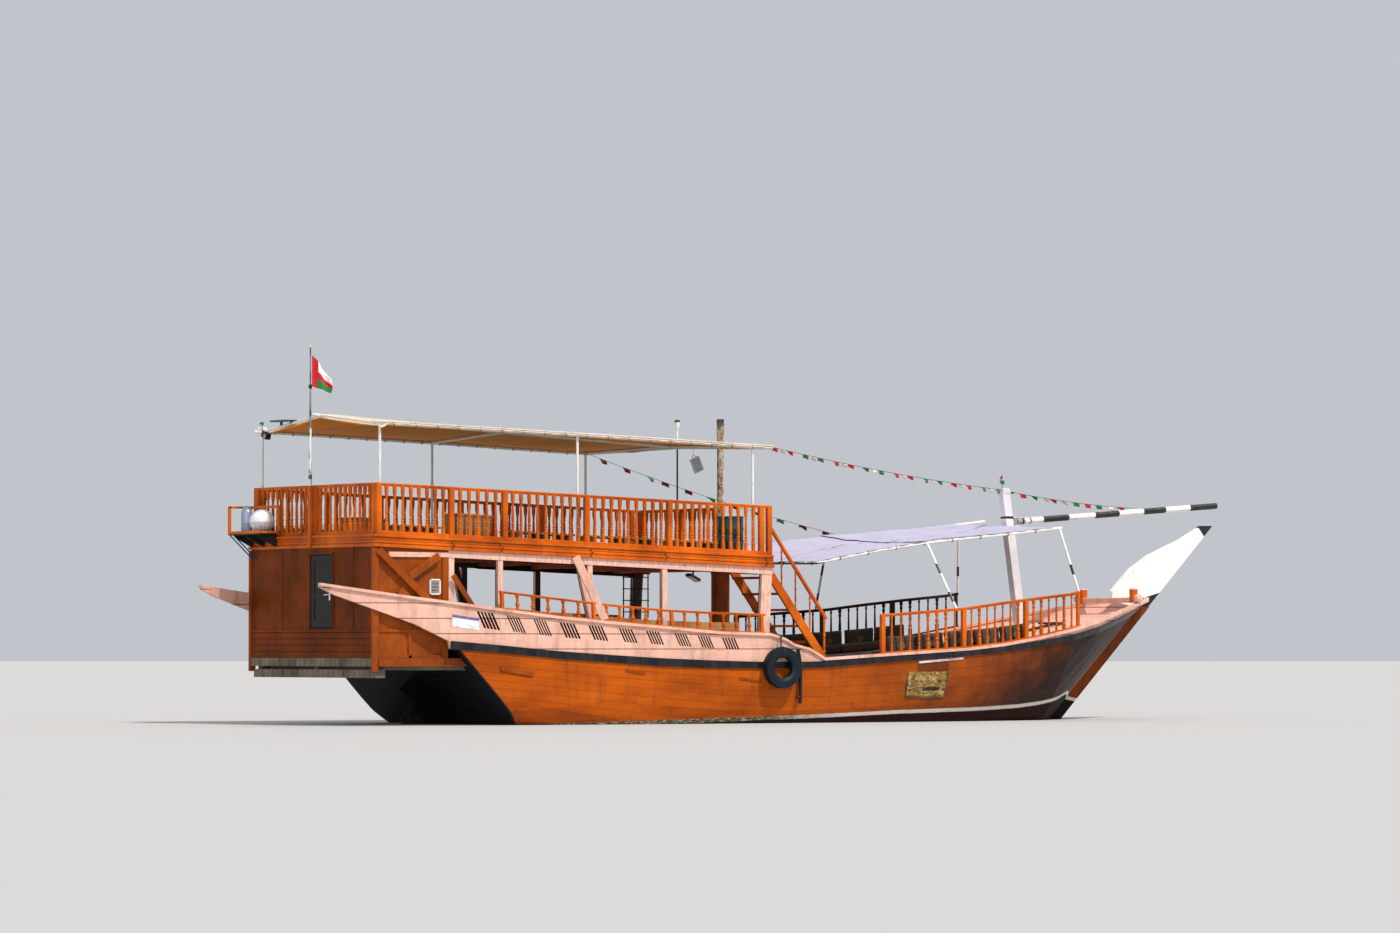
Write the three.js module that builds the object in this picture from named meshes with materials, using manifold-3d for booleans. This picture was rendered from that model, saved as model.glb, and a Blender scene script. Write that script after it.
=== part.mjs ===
// A wooden dhow with a two-storey stern, an upper deck under a canopy and a long raked stem.
// Millimetres. +X runs to the bow, +Y to port, +Z up. The origin is on the centreline at the waterline.
import * as THREE from 'three';
import { mergeVertices } from 'three/addons/utils/BufferGeometryUtils.js';
import Module from 'manifold-3d';

const wasm = await Module();
wasm.setup();

// Driving dimensions
const gap = 0.3;                    // between pieces that touch
const plank = 60;                   // bulwark and wing thickness
const keelThick = 160;              // keel, stem and sternpost
const railHeight = 45;              // cap rail
const strakeOut = 25;               // how far the dark strake stands proud
const deckThick = 40;
const cabinHalf = 2030;             // stern cabin and upper deck, half width
const cabinAft = -8180;
const cabinFore = -6850;
const upperFore = -800;             // fore end of the upper deck
const upperThick = 200;
const beamDepth = 110;
const boardThick = 40;              // cabin walls
const tubeR = 22;                   // canopy and awning tubes

// Lines of the hull. rabbet is the bottom of the planking on the centreline; low and high shape the section,
// which is boxy aft and sharp forward; deck is also the foot of the strake.
const lines = [
  // x, half breadth, rabbet, low, high, deck, strake top, cap top
  [-7300, 2200, 40, 14, 3, 1235, 1360, 1990],
  [-6900, 2220, 20, 14, 3, 1203, 1330, 1950],
  [-6000, 2255, -90, 12, 3, 1140, 1260, 1840],
  [-5000, 2290, -300, 8, 2.6, 1050, 1170, 1725],
  [-4000, 2320, -540, 5.5, 2.2, 985, 1105, 1640],
  [-3000, 2340, -740, 4, 2, 925, 1050, 1565],
  [-2000, 2350, -850, 3.4, 2, 895, 1015, 1485],
  [-1040, 2345, -890, 3.1, 2, 890, 990, 1460],
  [-750, 2342, -895, 3.05, 2, 891, 992, 1380],
  [-580, 2340, -897, 3, 2, 893, 994, 1290],
  [-280, 2337, -900, 3, 2, 897, 997, 1220],
  [-60, 2334, -900, 3, 2, 900, 1002, 1110],
  [20, 2333, -900, 3, 2, 903, 1012, 1060],
  [1000, 2310, -900, 2.7, 1.9, 970, 1068, 1115],
  [2000, 2260, -895, 2.5, 1.8, 1030, 1122, 1170],
  [3000, 2190, -880, 2.2, 1.6, 1095, 1178, 1225],
  [3700, 2120, -860, 2, 1.4, 1150, 1240, 1290],
  [4500, 2035, -830, 1.75, 1.25, 1235, 1335, 1405],
  [5280, 1930, -790, 1.5, 1.1, 1345, 1440, 1545],
  [6000, 1700, -82, 1.35, 1.05, 1470, 1570, 1695],
  [6500, 1440, 429, 1.3, 1, 1575, 1680, 1810],
  [7000, 1130, 940, 1.25, 1, 1690, 1780, 1910],
  [7400, 850, 1348, 1.2, 1, 1775, 1860, 1985],
  [7860, 500, 1818, 1.15, 1, 1847, 1950, 2055],
  [8120, 150, 2000, 1.1, 1, 2003, 2010, 2095],
];
const [X, HALF, RABBET, LOW, HIGH, DECK, STRAKE, CAP] = [0, 1, 2, 3, 4, 5, 6, 7];

// The wings run aft past the transom: x, half breadth, lower edge, cap top
const wing = [
  [-9120, 2020, 2160, 2230],
  [-8860, 2050, 2040, 2195],
  [-8290, 2110, 1850, 2120],
  [-7510, 2175, 1590, 2020],
  [-6930, 2218, 1330, 1953],
];

// Points in the side view, x and z
const transomFoot = [-5650, 0];
const rake = 46.8 * Math.PI / 180;  // transom and sternpost, from the level
const stemFoot = [6280, -40];
const stemTip = [9590, 3340];
const keelBottom = -1150;
const stemWidth = 200;
const postWidth = 300;

// Colours
const orange = '#a4561c';
const pink = '#d9ab93';
const black = '#14161b';
const white = '#e8e6e0';
const grey = '#6f7478';
const teal = '#1f4a4c';
const olive = '#8a7c4c';
const lavender = '#b9b8c6';
const bronze = '#8c6a33';
const darkWood = '#5c2f16';

const dhow = new THREE.Group();

function node(name, shape, colour, roughness = 0.7, metalness = 0) {
  const geometry = shape.isBufferGeometry ? shape : geometryOf(shape);
  const mesh = new THREE.Mesh(geometry, new THREE.MeshStandardMaterial({ color: colour, roughness, metalness }));
  mesh.name = name;
  dhow.add(mesh);
  return mesh;
}

// Solids and geometries
function solidOf(geometry) {
  const bare = geometry.clone();
  for (const name of Object.keys(bare.attributes)) if (name !== 'position') bare.deleteAttribute(name);
  bare.morphAttributes = {};
  const merged = mergeVertices(bare, 1e-3);
  return new wasm.Manifold(new wasm.Mesh({
    numProp: 3,
    vertProperties: Float32Array.from(merged.attributes.position.array),
    triVerts: Uint32Array.from(merged.index.array),
  }));
}

function geometryOf(solid) {
  const mesh = solid.getMesh();
  const geometry = new THREE.BufferGeometry();
  geometry.setAttribute('position', new THREE.BufferAttribute(Float32Array.from(mesh.vertProperties), 3));
  geometry.setIndex(new THREE.BufferAttribute(Uint32Array.from(mesh.triVerts), 1));
  geometry.computeVertexNormals();
  return geometry;
}

function join(pieces) {
  return pieces.map((p) => (p.isBufferGeometry ? solidOf(p) : p)).reduce((a, b) => a.add(b));
}

function cut(piece, ...tools) {
  const start = piece.isBufferGeometry ? solidOf(piece) : piece;
  return tools.reduce((a, b) => a.subtract(b.isBufferGeometry ? solidOf(b) : b), start);
}

function box(x0, x1, y0, y1, z0, z1) {
  const geometry = new THREE.BoxGeometry(x1 - x0, y1 - y0, z1 - z0);
  return geometry.translate((x0 + x1) / 2, (y0 + y1) / 2, (z0 + z1) / 2);
}

// A straight bar between two points: round with so many sides, or width across and height
function bar(from, to, width, height = width, sides = 4) {
  const a = new THREE.Vector3(...from);
  const b = new THREE.Vector3(...to);
  const along = b.clone().sub(a);
  const length = along.length();
  const shape = sides === 4
    ? new THREE.BoxGeometry(width, length, height)
    : new THREE.CylinderGeometry(width / 2, width / 2, length, sides);
  along.normalize();
  const up = Math.abs(along.z) > 0.9 ? new THREE.Vector3(1, 0, 0) : new THREE.Vector3(0, 0, 1);
  const side = along.clone().cross(up).normalize();
  const turn = new THREE.Matrix4().makeBasis(side, along, side.clone().cross(along));
  const middle = a.add(b).multiplyScalar(0.5);
  return shape.applyMatrix4(turn).translate(middle.x, middle.y, middle.z);
}

const tube = (from, to, diameter, sides = 8) => bar(from, to, diameter, diameter, sides);

// A board cut to an outline in the side view, between two distances off the centreline
function board(outline, y0, y1) {
  const shape = new THREE.Shape(outline.map(([x, z]) => new THREE.Vector2(x, z)));
  const geometry = new THREE.ExtrudeGeometry(shape, { depth: y1 - y0, bevelEnabled: false });
  return geometry.rotateX(Math.PI / 2).translate(0, y1, 0);
}

// A body through rings of equal length. A ring runs up one face and down the other, point facing point, and
// both faces are split along like diagonals, so that a second loft on the same stations fits against the first
function loft(rings) {
  const count = rings[0].length;
  const points = rings.flat();
  const faces = [];
  const quad = (a, b, c, d) => faces.push(a, b, c, a, c, d);
  for (let i = 0; i + 1 < rings.length; i++) {
    for (let k = 0; k < count; k++) {
      const [a, b] = [i * count + k, i * count + (k + 1) % count];
      if (k < count / 2) quad(a, b, b + count, a + count);
      else quad(b, b + count, a + count, a);
    }
  }
  const last = points.length - 1;
  for (let k = 0; k + 1 < count / 2; k++) {
    quad(k, count - 1 - k, count - 2 - k, k + 1);
    quad(last - k, last - (count - 1 - k), last - (count - 2 - k), last - (k + 1));
  }
  const geometry = new THREE.BufferGeometry();
  geometry.setAttribute('position', new THREE.BufferAttribute(Float32Array.from(points.flat()), 3));
  geometry.setIndex(faces);
  return outward(geometry);
}

// Turns the faces round where the shape is inside out
function outward(geometry) {
  const at = geometry.attributes.position;
  const index = geometry.index.array;
  const [a, b, c] = [new THREE.Vector3(), new THREE.Vector3(), new THREE.Vector3()];
  let volume = 0;
  for (let i = 0; i < index.length; i += 3) {
    a.fromBufferAttribute(at, index[i]);
    b.fromBufferAttribute(at, index[i + 1]);
    c.fromBufferAttribute(at, index[i + 2]);
    volume += a.dot(b.cross(c));
  }
  if (volume < 0) for (let i = 0; i < index.length; i += 3) [index[i], index[i + 1]] = [index[i + 1], index[i]];
  return geometry;
}

// The same piece on the other side of the boat
function mirrored(shape) {
  const geometry = (shape.isBufferGeometry ? shape : geometryOf(shape)).clone().scale(1, -1, 1);
  const whole = geometry.index ? geometry : mergeVertices(geometry);
  return outward(whole);
}

// A value from a table whose first column is x
function along(table, x, column) {
  const next = Math.min(Math.max(table.findIndex((row) => row[0] >= x), 1), table.length - 1);
  const at = table.at(x > table.at(-1)[0] ? -1 : next);
  const before = table[table.indexOf(at) - 1];
  return before[column] + (at[column] - before[column]) * (x - before[0]) / (at[0] - before[0]);
}

// Half breadth of the planking's outside at any place
function breadth(x, z) {
  if (x < wing.at(-1)[0]) return along(wing, x, 1);
  const rabbet = along(lines, x, RABBET);
  const sheer = x < lines[12][0] ? along(lines, x, STRAKE) + railHeight : along(lines, x, CAP);
  const height = Math.min(Math.max((z - rabbet) / (sheer - rabbet), 0), 1);
  const full = (1 - (1 - height) ** along(lines, x, LOW)) ** (1 / along(lines, x, HIGH));
  const keelHalf = keelThick / 2;
  return keelHalf + (along(lines, x, HALF) - keelHalf) * full;
}

// Stations of the planking between two places, the table's own and the two ends
function stations(from, to) {
  return [from, ...lines.map((row) => row[X]).filter((x) => x > from + 1 && x < to - 1), to];
}

// Transom, sternpost and rudder lie along one raked line: up it, and square off it aft and down
const up = [-Math.cos(rake), Math.sin(rake)];
const off = [-Math.sin(rake), -Math.cos(rake)];
const onRake = (distance, height) => [
  transomFoot[0] + off[0] * distance + up[0] * height,
  transomFoot[1] + off[1] * distance + up[1] * height,
];
const stemSlope = (stemTip[0] - stemFoot[0]) / (stemTip[1] - stemFoot[1]);
const onStem = (z, aft = 0) => [stemFoot[0] + (z - stemFoot[1]) * stemSlope - aft, z];

// All that lies aft of the transom's plane, and all that lies forward of a plane so far off it
const aftOfTransom = board([onRake(0, 4000), onRake(0, -2500), [-9900, -2500], [-9900, 4000]], -3000, 3000);
const forwardOf = (distance) => board([onRake(distance, 4000), onRake(distance, -2500), [9900, -2500], [9900, 4000]],
  -3000, 3000);

// Keel, stem and sternpost in one, with the propeller's aperture and the shaft's bore
const propeller = { x: -4590, z: -770, radius: 285, hub: 50, hubLength: 120, shaft: 18, blades: 3 };
const heelHeight = (keelBottom - onRake(postWidth, 0)[1]) / up[1];
const postTop = 1010;               // along the rake
const stemTop = 1925;
function backbone(grow) {
  const outer = [
    onRake(postWidth + grow, postTop + grow), onRake(postWidth + grow, heelHeight - grow),
    onStem(keelBottom - grow, -grow), onStem(stemTop + grow, -grow), onStem(stemTop + grow, stemWidth + 90 + grow),
    ...[[5230, -740], [3000, -800], [-3000, -660], [-4500, -330], [-5400, -60]].map(([x, z]) => [x - grow, z + grow]),
    onRake(-60 - grow, 150), onRake(-60 - grow, postTop + grow),
  ];
  return board(outer, -keelThick / 2 - grow, keelThick / 2 + grow);
}
const aperture = board([[-4800, -1075], [-4400, -1075], [-4330, -500], [-4330, -200], [-4950, -200], [-4860, -500]],
  -keelThick, keelThick);
const bore = tube([-4700, 0, propeller.z], [-4240, 0, propeller.z], 2 * propeller.shaft + 2, 12);

// Rudder axis, and the gudgeons that carry it
const axisOff = postWidth + 60;
const pintle = 18;
const gudgeons = [[-880, -820], [560, 620]];
const at3 = ([x, z]) => [x, 0, z];
const gudgeonArms = gudgeons.map(([low, high]) => cut(
  board([onRake(postWidth - 40, low), onRake(axisOff + 40, low), onRake(axisOff + 40, high),
    onRake(postWidth - 40, high)], -38, 38),
  tube(at3(onRake(axisOff, low - 20)), at3(onRake(axisOff, high + 20)), 2 * pintle + 2, 12),
));
node('keel_and_stem', join([cut(backbone(0), aperture, bore), ...gudgeonArms]), darkWood, 0.8);

// Rudder: a plank with a round fore edge, notched at the gudgeons, with pins across the notches
const rudderLow = -1160;
const rudderHigh = 690;
const rudderPlank = board([
  onRake(axisOff, rudderLow), onRake(axisOff + 520, -690), onRake(axisOff + 560, -300),
  onRake(axisOff + 300, 250), onRake(axisOff + 260, rudderHigh), onRake(axisOff, rudderHigh),
], -32, 32);
const notches = gudgeons.map(([low, high]) => board([
  onRake(axisOff - 60, low - 6), onRake(axisOff + 60, low - 6), onRake(axisOff + 60, high + 6),
  onRake(axisOff - 60, high + 6)], -80, 80));
node('rudder', join([
  cut(join([rudderPlank, tube(at3(onRake(axisOff, rudderLow)), at3(onRake(axisOff, rudderHigh)), 64, 12)]), ...notches),
  ...gudgeons.map(([low, high]) => tube(at3(onRake(axisOff, low - 30)), at3(onRake(axisOff, high + 30)),
    2 * pintle, 12)),
]), darkWood, 0.8);

// Propeller with its shaft
const blade = new THREE.ExtrudeGeometry(new THREE.Shape([
  [-28, 30], [28, 30], [75, 130], [80, 200], [45, 265], [0, 285], [-45, 265], [-80, 200], [-75, 130],
].map(([x, y]) => new THREE.Vector2(x, y))), { depth: 14, bevelEnabled: false });
const bladeAt = (k) => blade.clone().translate(0, 0, -7).rotateY(0.45 * Math.PI / 2)
  .rotateX(Math.PI / 2 + k * 2 * Math.PI / propeller.blades).translate(propeller.x, 0, propeller.z);
node('propeller', join([
  tube([propeller.x - propeller.hubLength / 2, 0, propeller.z],
    [propeller.x + propeller.hubLength / 2, 0, propeller.z], 2 * propeller.hub, 16),
  tube([propeller.x, 0, propeller.z], [-4260, 0, propeller.z], 2 * propeller.shaft, 12),
  ...Array.from({ length: propeller.blades }, (_, k) => bladeAt(k)),
]), bronze, 0.35, 0.9);

// Hull, solid below the deck but for the engine's room, with the backbone let into it
const levels = [0, 0.04, 0.12, 0.25, 0.42, 0.62, 0.82, 1];
function hullRing(x) {
  const [low, top] = [along(lines, x, RABBET), along(lines, x, DECK)];
  const side = levels.map((level) => {
    const z = low + (top - low) * level;
    return [x, breadth(x, z), z];
  });
  return [...side, ...side.map(([, y, z]) => [x, -y, z]).reverse()];
}
const engine = { x: [-3950, -2650], y: 380, z: [-430, 470] };
const engineSpace = 260;            // room around the engine, open up to the deck
const engineRoom = box(engine.x[0] - engineSpace, engine.x[1] + engineSpace, -engine.y - engineSpace,
  engine.y + engineSpace, engine.z[0] - gap, 1400);
const hullStations = lines.map((row) => row[X]).filter((x) => x < 8000);
node('hull', cut(loft(hullStations.map(hullRing)), aftOfTransom, backbone(gap), engineRoom), orange, 0.55);
node('engine_block', box(engine.x[0], engine.x[1], -engine.y, engine.y, engine.z[0], engine.z[1]), grey, 0.6, 0.4);

// Main deck and bow deck, planks on the hull's flat top
const deckEdge = lines.map((row) => [row[X], breadth(row[X], row[DECK] + gap)]);
function deckRing(x) {
  const z = along(lines, x, DECK) + gap;
  const y = along(deckEdge, x, 1) - plank - 2 * gap;
  return [[x, -y, z], [x, y, z], [x, y, z + deckThick], [x, -y, z + deckThick]];
}
const bowDeckAft = 4600;
node('main_deck', loft(stations(-6780, bowDeckAft - gap).map(deckRing)), darkWood, 0.85);
node('bow_deck', cut(loft(stations(bowDeckAft, 7760).map(deckRing)), backbone(gap)), pink, 0.75);

// Bulwark and cap rail, each with its wing, and the dark strake, one side at a time
function bulwarkRing(x) {
  const isWing = x < wing.at(-1)[0] + 1;
  const low = isWing ? along(wing, x, 2) : along(lines, x, DECK) + gap;
  const high = (isWing ? along(wing, x, 3) : along(lines, x, CAP)) - railHeight - gap;
  const rows = [low, isWing ? (low + high) / 2 : along(lines, x, STRAKE), high];
  const outer = rows.map((z) => [x, breadth(x, z), z]);
  return [...outer, ...outer.map(([, y, z]) => [x, Math.max(y - plank, keelThick / 2 + gap), z]).reverse()];
}
function capRing(x) {
  const high = x < wing.at(-1)[0] + 1 ? along(wing, x, 3) : along(lines, x, CAP);
  const y = breadth(x, high);
  const inner = Math.max(y - plank - (x < -6890 ? 0 : 40), keelThick / 2 + gap);
  return [[x, inner, high - railHeight], [x, y + 35, high - railHeight], [x, y + 35, high], [x, inner, high]];
}
function strakeRing(x) {
  const face = [along(lines, x, DECK) + gap, along(lines, x, STRAKE)].map((z) => [x, breadth(x, z) + gap, z]);
  return [...face.map(([, y, z]) => [x, y + strakeOut, z]), ...face.reverse()];
}
const wingStations = wing.map((row) => row[0]);

// Slots under the cap rail in groups of five, raked aft: aft top corner and fore low corner of each group
const slotGroups = [[-6440, -6000], [-5910, -5540], [-5430, -5070], [-4960, -4550], [-4440, -4050], [-3880, -3510],
  [-3380, -3020], [-2850, -2510], [-2420, -2080], [-1960, -1600]];
const slot = { count: 5, slat: 22, below: 100, deepest: 265, shrink: 0.018, rake: 0.5 };
const slots = slotGroups.flatMap(([from, to]) => {
  const tall = slot.deepest - slot.shrink * (from - slotGroups[0][0]);
  const pitch = (to - from - slot.rake * tall) / slot.count;
  return Array.from({ length: slot.count }, (_, k) => {
    const [x, z] = [from + k * pitch, along(lines, from + k * pitch, CAP) - slot.below];
    const wide = pitch - slot.slat;
    return board([[x, z], [x + wide, z], [x + wide + slot.rake * tall, z - tall], [x + slot.rake * tall, z - tall]],
      1900, 2500);
  });
});
const bulwark = cut(loft([...wingStations, ...stations(-6900, 7960)].map(bulwarkRing)), backbone(gap), ...slots);
const capRail = cut(loft([...wingStations, ...stations(-6900, 8060)].map(capRing)), backbone(gap));
const strake = loft(stations(-6900, 7860).map(strakeRing));
const lowSide = { aft: -60, fore: 1190 };   // butts at both ends of the low rail, where people board
const aftOf = (x) => box(-9500, x, -3000, 3000, 0, 3000);
const foreOf = (x) => box(x, 9000, -3000, 3000, 0, 3000);
for (const [name, piece] of [['port', (s) => s], ['starboard', mirrored]]) {
  node(`wing_${name}`, piece(cut(bulwark, foreOf(lowSide.aft - gap))), pink, 0.7);
  node(`wing_cap_${name}`, piece(cut(capRail, foreOf(lowSide.aft - gap))), pink, 0.65);
  node(`bulwark_${name}`, piece(cut(bulwark, aftOf(lowSide.aft))), pink, 0.7);
  node(`cap_sill_${name}`, piece(cut(capRail, aftOf(lowSide.aft), foreOf(lowSide.fore))), pink, 0.65);
  node(`cap_rail_${name}`, piece(cut(capRail, aftOf(lowSide.fore + gap))), pink, 0.65);
  node(`strake_${name}`, piece(strake), black, 0.5);
}

// Upper deck, which slopes down forward
const upperTop = (x) => 3000 - 280 * (x - cabinAft) / (upperFore - cabinAft);
const upperFoot = (x) => upperTop(x) - upperThick;
const pipe = { x: -950, y: -700, radius: 55, top: 4970 };
const ribs = [-6000, -5000, -4000, -3000, -2000, -1400];
const slab = loft([cabinAft, upperFore].map((x) => [
  [x, -cabinHalf - 40, upperFoot(x)], [x, cabinHalf + 40, upperFoot(x)],
  [x, cabinHalf + 40, upperTop(x)], [x, -cabinHalf - 40, upperTop(x)],
]));
const beamIn = cabinHalf - 70;
const pipeHole = tube([pipe.x, pipe.y, 2000], [pipe.x, pipe.y, 3500], 2 * (pipe.radius + 2 * gap), 16);
node('upper_deck', cut(join([slab, ...ribs.map((x) =>
  box(x - 40, x + 40, -beamIn + gap, beamIn - gap, upperFoot(x) - 80, upperFoot(x) + 60))]), pipeHole), orange, 0.6);

// Butt hinge: barrels on a wall's face at a height each, leaves to the wall and to the door beside it
function barrels(face, out, y, heights, leafOut, leafIn) {
  return heights.flatMap(([low, high]) => [
    tube([face + out * 9, y, low], [face + out * 9, y, high], 16, 12),
    box(Math.min(face - out * leafIn, face + out * 8), Math.max(face - out * leafIn, face + out * 8),
      leafOut > 0 ? y : y + leafOut, leafOut > 0 ? y + leafOut : y, low, high),
  ]);
}
const knuckle = 40;
const leafHeights = (low, high) => [low + 0.15 * (high - low), low + 0.8 * (high - low)].map((z) => ({
  wall: [z, z + knuckle], door: [z + knuckle + gap, z + 2 * knuckle],
}));

// Stern cabin: platform, four walls and two doors
const platformTop = 1060;
const wallFoot = platformTop + gap;
const platform = [
  box(-8200, -6300, -2060, 2060, 930, platformTop), box(-8150, -7950, -2000, 2000, 750, 880),
  ...[-1880, 0, 1880].map((y) => box(-8100, -6300, y - 60, y + 60, 870, 940)),
];
node('cabin_platform', cut(join(platform), forwardOf(gap), backbone(gap)), orange, 0.75);

const wallOutline = (x0, x1) => [[x0, wallFoot], [x1, wallFoot], [x1, upperFoot(x1) - gap], [x0, upperFoot(x0) - gap]];
const sternDoor = { y: [-700, 30], z: [1525, 2695] };
const cabinDoor = { y: [-380, 380], z: [1256, 2640] };
const hingeIn = 4;                  // hinge pin inside the edge of the opening
function wallWithDoor(face, out, opening) {
  const inner = face - out * boardThick;
  const [x0, x1] = [Math.min(face, inner), Math.max(face, inner)];
  const wall = cut(board(wallOutline(x0, x1), -cabinHalf + boardThick + gap, cabinHalf - boardThick - gap),
    box(x0 - 1, x1 + 1, ...opening.y, ...opening.z));
  const leaves = leafHeights(...opening.z).flatMap((h) => barrels(face, out, opening.y[1] - hingeIn, [h.wall], 50, 1));
  return join([wall, ...leaves]);
}
function doorIn(face, out, opening) {
  const [x0, x1] = [face - out * 2, face - out * 32].sort((a, b) => a - b);
  const leaves = leafHeights(...opening.z).flatMap((h) => barrels(face, out, opening.y[1] - hingeIn, [h.door], -60, 4));
  return join([box(x0, x1, opening.y[0] + 7, opening.y[1] - 8, opening.z[0] + 7, opening.z[1] - 7), ...leaves]);
}
const sillZ = [1470, 1512];
const sill = box(cabinAft - 25, cabinAft + 1, -cabinHalf + 45, cabinHalf - 45, ...sillZ);
node('cabin_aft_wall', join([wallWithDoor(cabinAft, -1, sternDoor), sill]), orange, 0.6);
node('stern_door', doorIn(cabinAft, -1, sternDoor), grey, 0.6);
node('cabin_fore_wall', wallWithDoor(cabinFore, 1, cabinDoor), orange, 0.6);
node('cabin_door', doorIn(cabinFore, 1, cabinDoor), darkWood, 0.6);
const cross = [[[-8100, 2740], [-7060, 1820]], [[-7030, 2680], [-7560, 2330]]];
const trimOut = 22;                 // boards that stand proud of the side walls
const sideWall = join([
  board(wallOutline(cabinAft, cabinFore), cabinHalf - boardThick, cabinHalf),
  box(cabinAft, cabinFore, cabinHalf - 1, cabinHalf + trimOut, ...sillZ),
  ...[cabinAft, cabinFore - 100].map((x) => box(x, x + 100, cabinHalf - 1, cabinHalf + trimOut, wallFoot, 2730)),
]);
const braces = cross.map(([a, b]) => bar([a[0], cabinHalf + 10, a[1]], [b[0], cabinHalf + 10, b[1]], trimOut, 110));
node('cabin_side_port', sideWall, orange, 0.6);
node('cabin_side_starboard', mirrored(join([sideWall, ...braces])), orange, 0.6);

// Frame along each side that carries the upper deck: foot x, head x, width
const frame = [
  [-6790, -6790, 100],
  [-5900, -5900, 90],
  [-4250, -4250, 90],
  [-4060, -4440, 120],
  [-2850, -2850, 90],
  [-980, -900, 190],
];
const deckTop = (x) => along(lines, x, DECK) + gap + deckThick + gap;
const frameSide = join([
  board([[cabinFore + gap, upperFoot(cabinFore) - beamDepth], [upperFore, upperFoot(upperFore) - beamDepth],
    [upperFore, upperFoot(upperFore) - gap], [cabinFore + gap, upperFoot(cabinFore) - gap]], beamIn, beamIn + 100),
  ...frame.map(([foot, head, width]) => {
    const low = (x) => deckTop(x) + 0.2;
    const [w, high] = [width / 2, upperFoot(head) - 20];
    return board([[foot - w, low(foot - w)], [foot + w, low(foot + w)], [head + w, high], [head - w, high]],
      beamIn, beamIn + 90);
  }),
]);
node('frame_port', frameSide, pink, 0.7);
node('frame_starboard', mirrored(frameSide), pink, 0.7);

// A railing through rows of x, y, foot and top: a foot strip, a hand rail, posts and balusters between them
function railing(path, posts, counts, size) {
  const strip = (low, high) => loft(path.map(([x, y, foot, top]) => {
    const [a, b] = [low(foot, top), high(foot, top)];
    return [[x, y - size.rail / 2, a], [x, y + size.rail / 2, a], [x, y + size.rail / 2, b], [x, y - size.rail / 2, b]];
  }));
  const upright = (x, width) => {
    const [y, foot, top] = [1, 2, 3].map((column) => along(path, x, column));
    const lean = size.lean * (top - foot);
    return bar([x, y, foot + 8], [x - lean, y, top - 8], width);
  };
  const spindles = posts.slice(1).flatMap((end, i) => Array.from({ length: counts[i] }, (_, k) =>
    upright(posts[i] + (end - posts[i]) * (k + 1) / (counts[i] + 1), size.baluster)));
  return join([
    strip((foot) => foot, (foot) => foot + size.sole), strip((foot, top) => top - size.hand, (foot, top) => top),
    ...posts.map((x) => upright(x, size.post)), ...spindles,
  ]);
}
const across = (shape) => geometryOf(shape).rotateZ(Math.PI / 2);

// Rails round the upper deck
const upperRail = { rail: 62, sole: 60, hand: 50, post: 85, baluster: 42, lean: 0 };
const railLine = cabinHalf - 10;
const railHigh = (x) => upperTop(x) + 805;
const sideRail = railing(
  [cabinAft + 50, upperFore - 5].map((x) => [x, railLine, upperTop(x) + gap, railHigh(x)]),
  [-8085, -6780, -5810, -4300, -2750, -1000, -850], [8, 5, 9, 9, 11, 0], upperRail,
);
node('upper_rail_port', sideRail, orange, 0.55);
node('upper_rail_starboard', mirrored(sideRail), orange, 0.55);
const rowAt = (x, y) => [y, -x, upperTop(x - 31) + gap, railHigh(x)];
const sternEnd = railLine - 45;
node('upper_rail_stern', across(railing([rowAt(-8100, -sternEnd), rowAt(-8100, sternEnd)],
  [-sternEnd + 40, 0, sternEnd - 40], [11, 11], upperRail)), orange, 0.55);
node('upper_rail_fore', across(railing([rowAt(-850, -520), rowAt(-850, railLine - 45)],
  [-478, 700, railLine - 90], [7, 7], upperRail)), orange, 0.55);

// Low rail on the quarters and the rails of the foredeck, both on the cap: x, foot above the cap, top
const onCap = (rows) => rows.map(([x, top]) => {
  const cap = along(lines, x, CAP);
  return [x, breadth(x, cap) - 62, cap + gap, top];
});
const lowRail = { rail: 50, sole: 18, hand: 36, post: 55, baluster: 28, lean: 0.04 };
const quarterRail = railing(onCap([[-6000, 2120], [-5000, 2015], [-4000, 1915], [-3000, 1835], [-2000, 1795],
  [-1100, 1770]]), [-5950, -4300, -2860, -1150], [5, 5, 6], lowRail);
node('quarter_rail_port', quarterRail, orange, 0.55);
node('quarter_rail_starboard', mirrored(quarterRail), orange, 0.55);
const bowRailSize = { rail: 64, sole: 22, hand: 48, post: 75, baluster: 36, lean: 0 };
const bowRailPath = onCap([[1180, 1768], [2000, 1825], [3000, 1895], [3700, 1980], [4500, 2065], [5280, 2140],
  [5600, 2195]]);
const bowRail = railing(bowRailPath, [1220, 2900, 4250, 5560], [8, 7, 6], bowRailSize);
node('bow_rail_port', bowRail, orange, 0.55);
node('bow_rail_starboard', mirrored(bowRail), orange, 0.55);

// Benches below the upper deck and cushions on the foredeck, laid along the deck
const laid = (from, to, inner, outer, low, high) => loft(stations(from, to).map((x) => {
  const [a, b, z] = [inner(x), outer(x), deckTop(x) + 0.2];
  return [[x, a, z + low], [x, b, z + low], [x, b, z + high], [x, a, z + high]];
}));
const benchSpan = [-5700, -1350];
const bench = join([laid(...benchSpan, () => 1500, () => 1920, 0, 420),
  laid(...benchSpan, () => 1880, () => 1920, 400, 700)]);
node('bench_port', bench, orange, 0.6);
node('bench_starboard', mirrored(bench), orange, 0.6);
const side = (x) => breadth(x, along(lines, x, DECK)) - plank - 80;
const cushion = join([laid(1400, 4400, (x) => side(x) - 560, side, 0, 140),
  laid(1400, 4400, (x) => side(x) - 130, side, 120, 400)]);
node('cushion_port', cushion, darkWood, 0.9);
node('cushion_starboard', mirrored(cushion), darkWood, 0.9);

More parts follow.
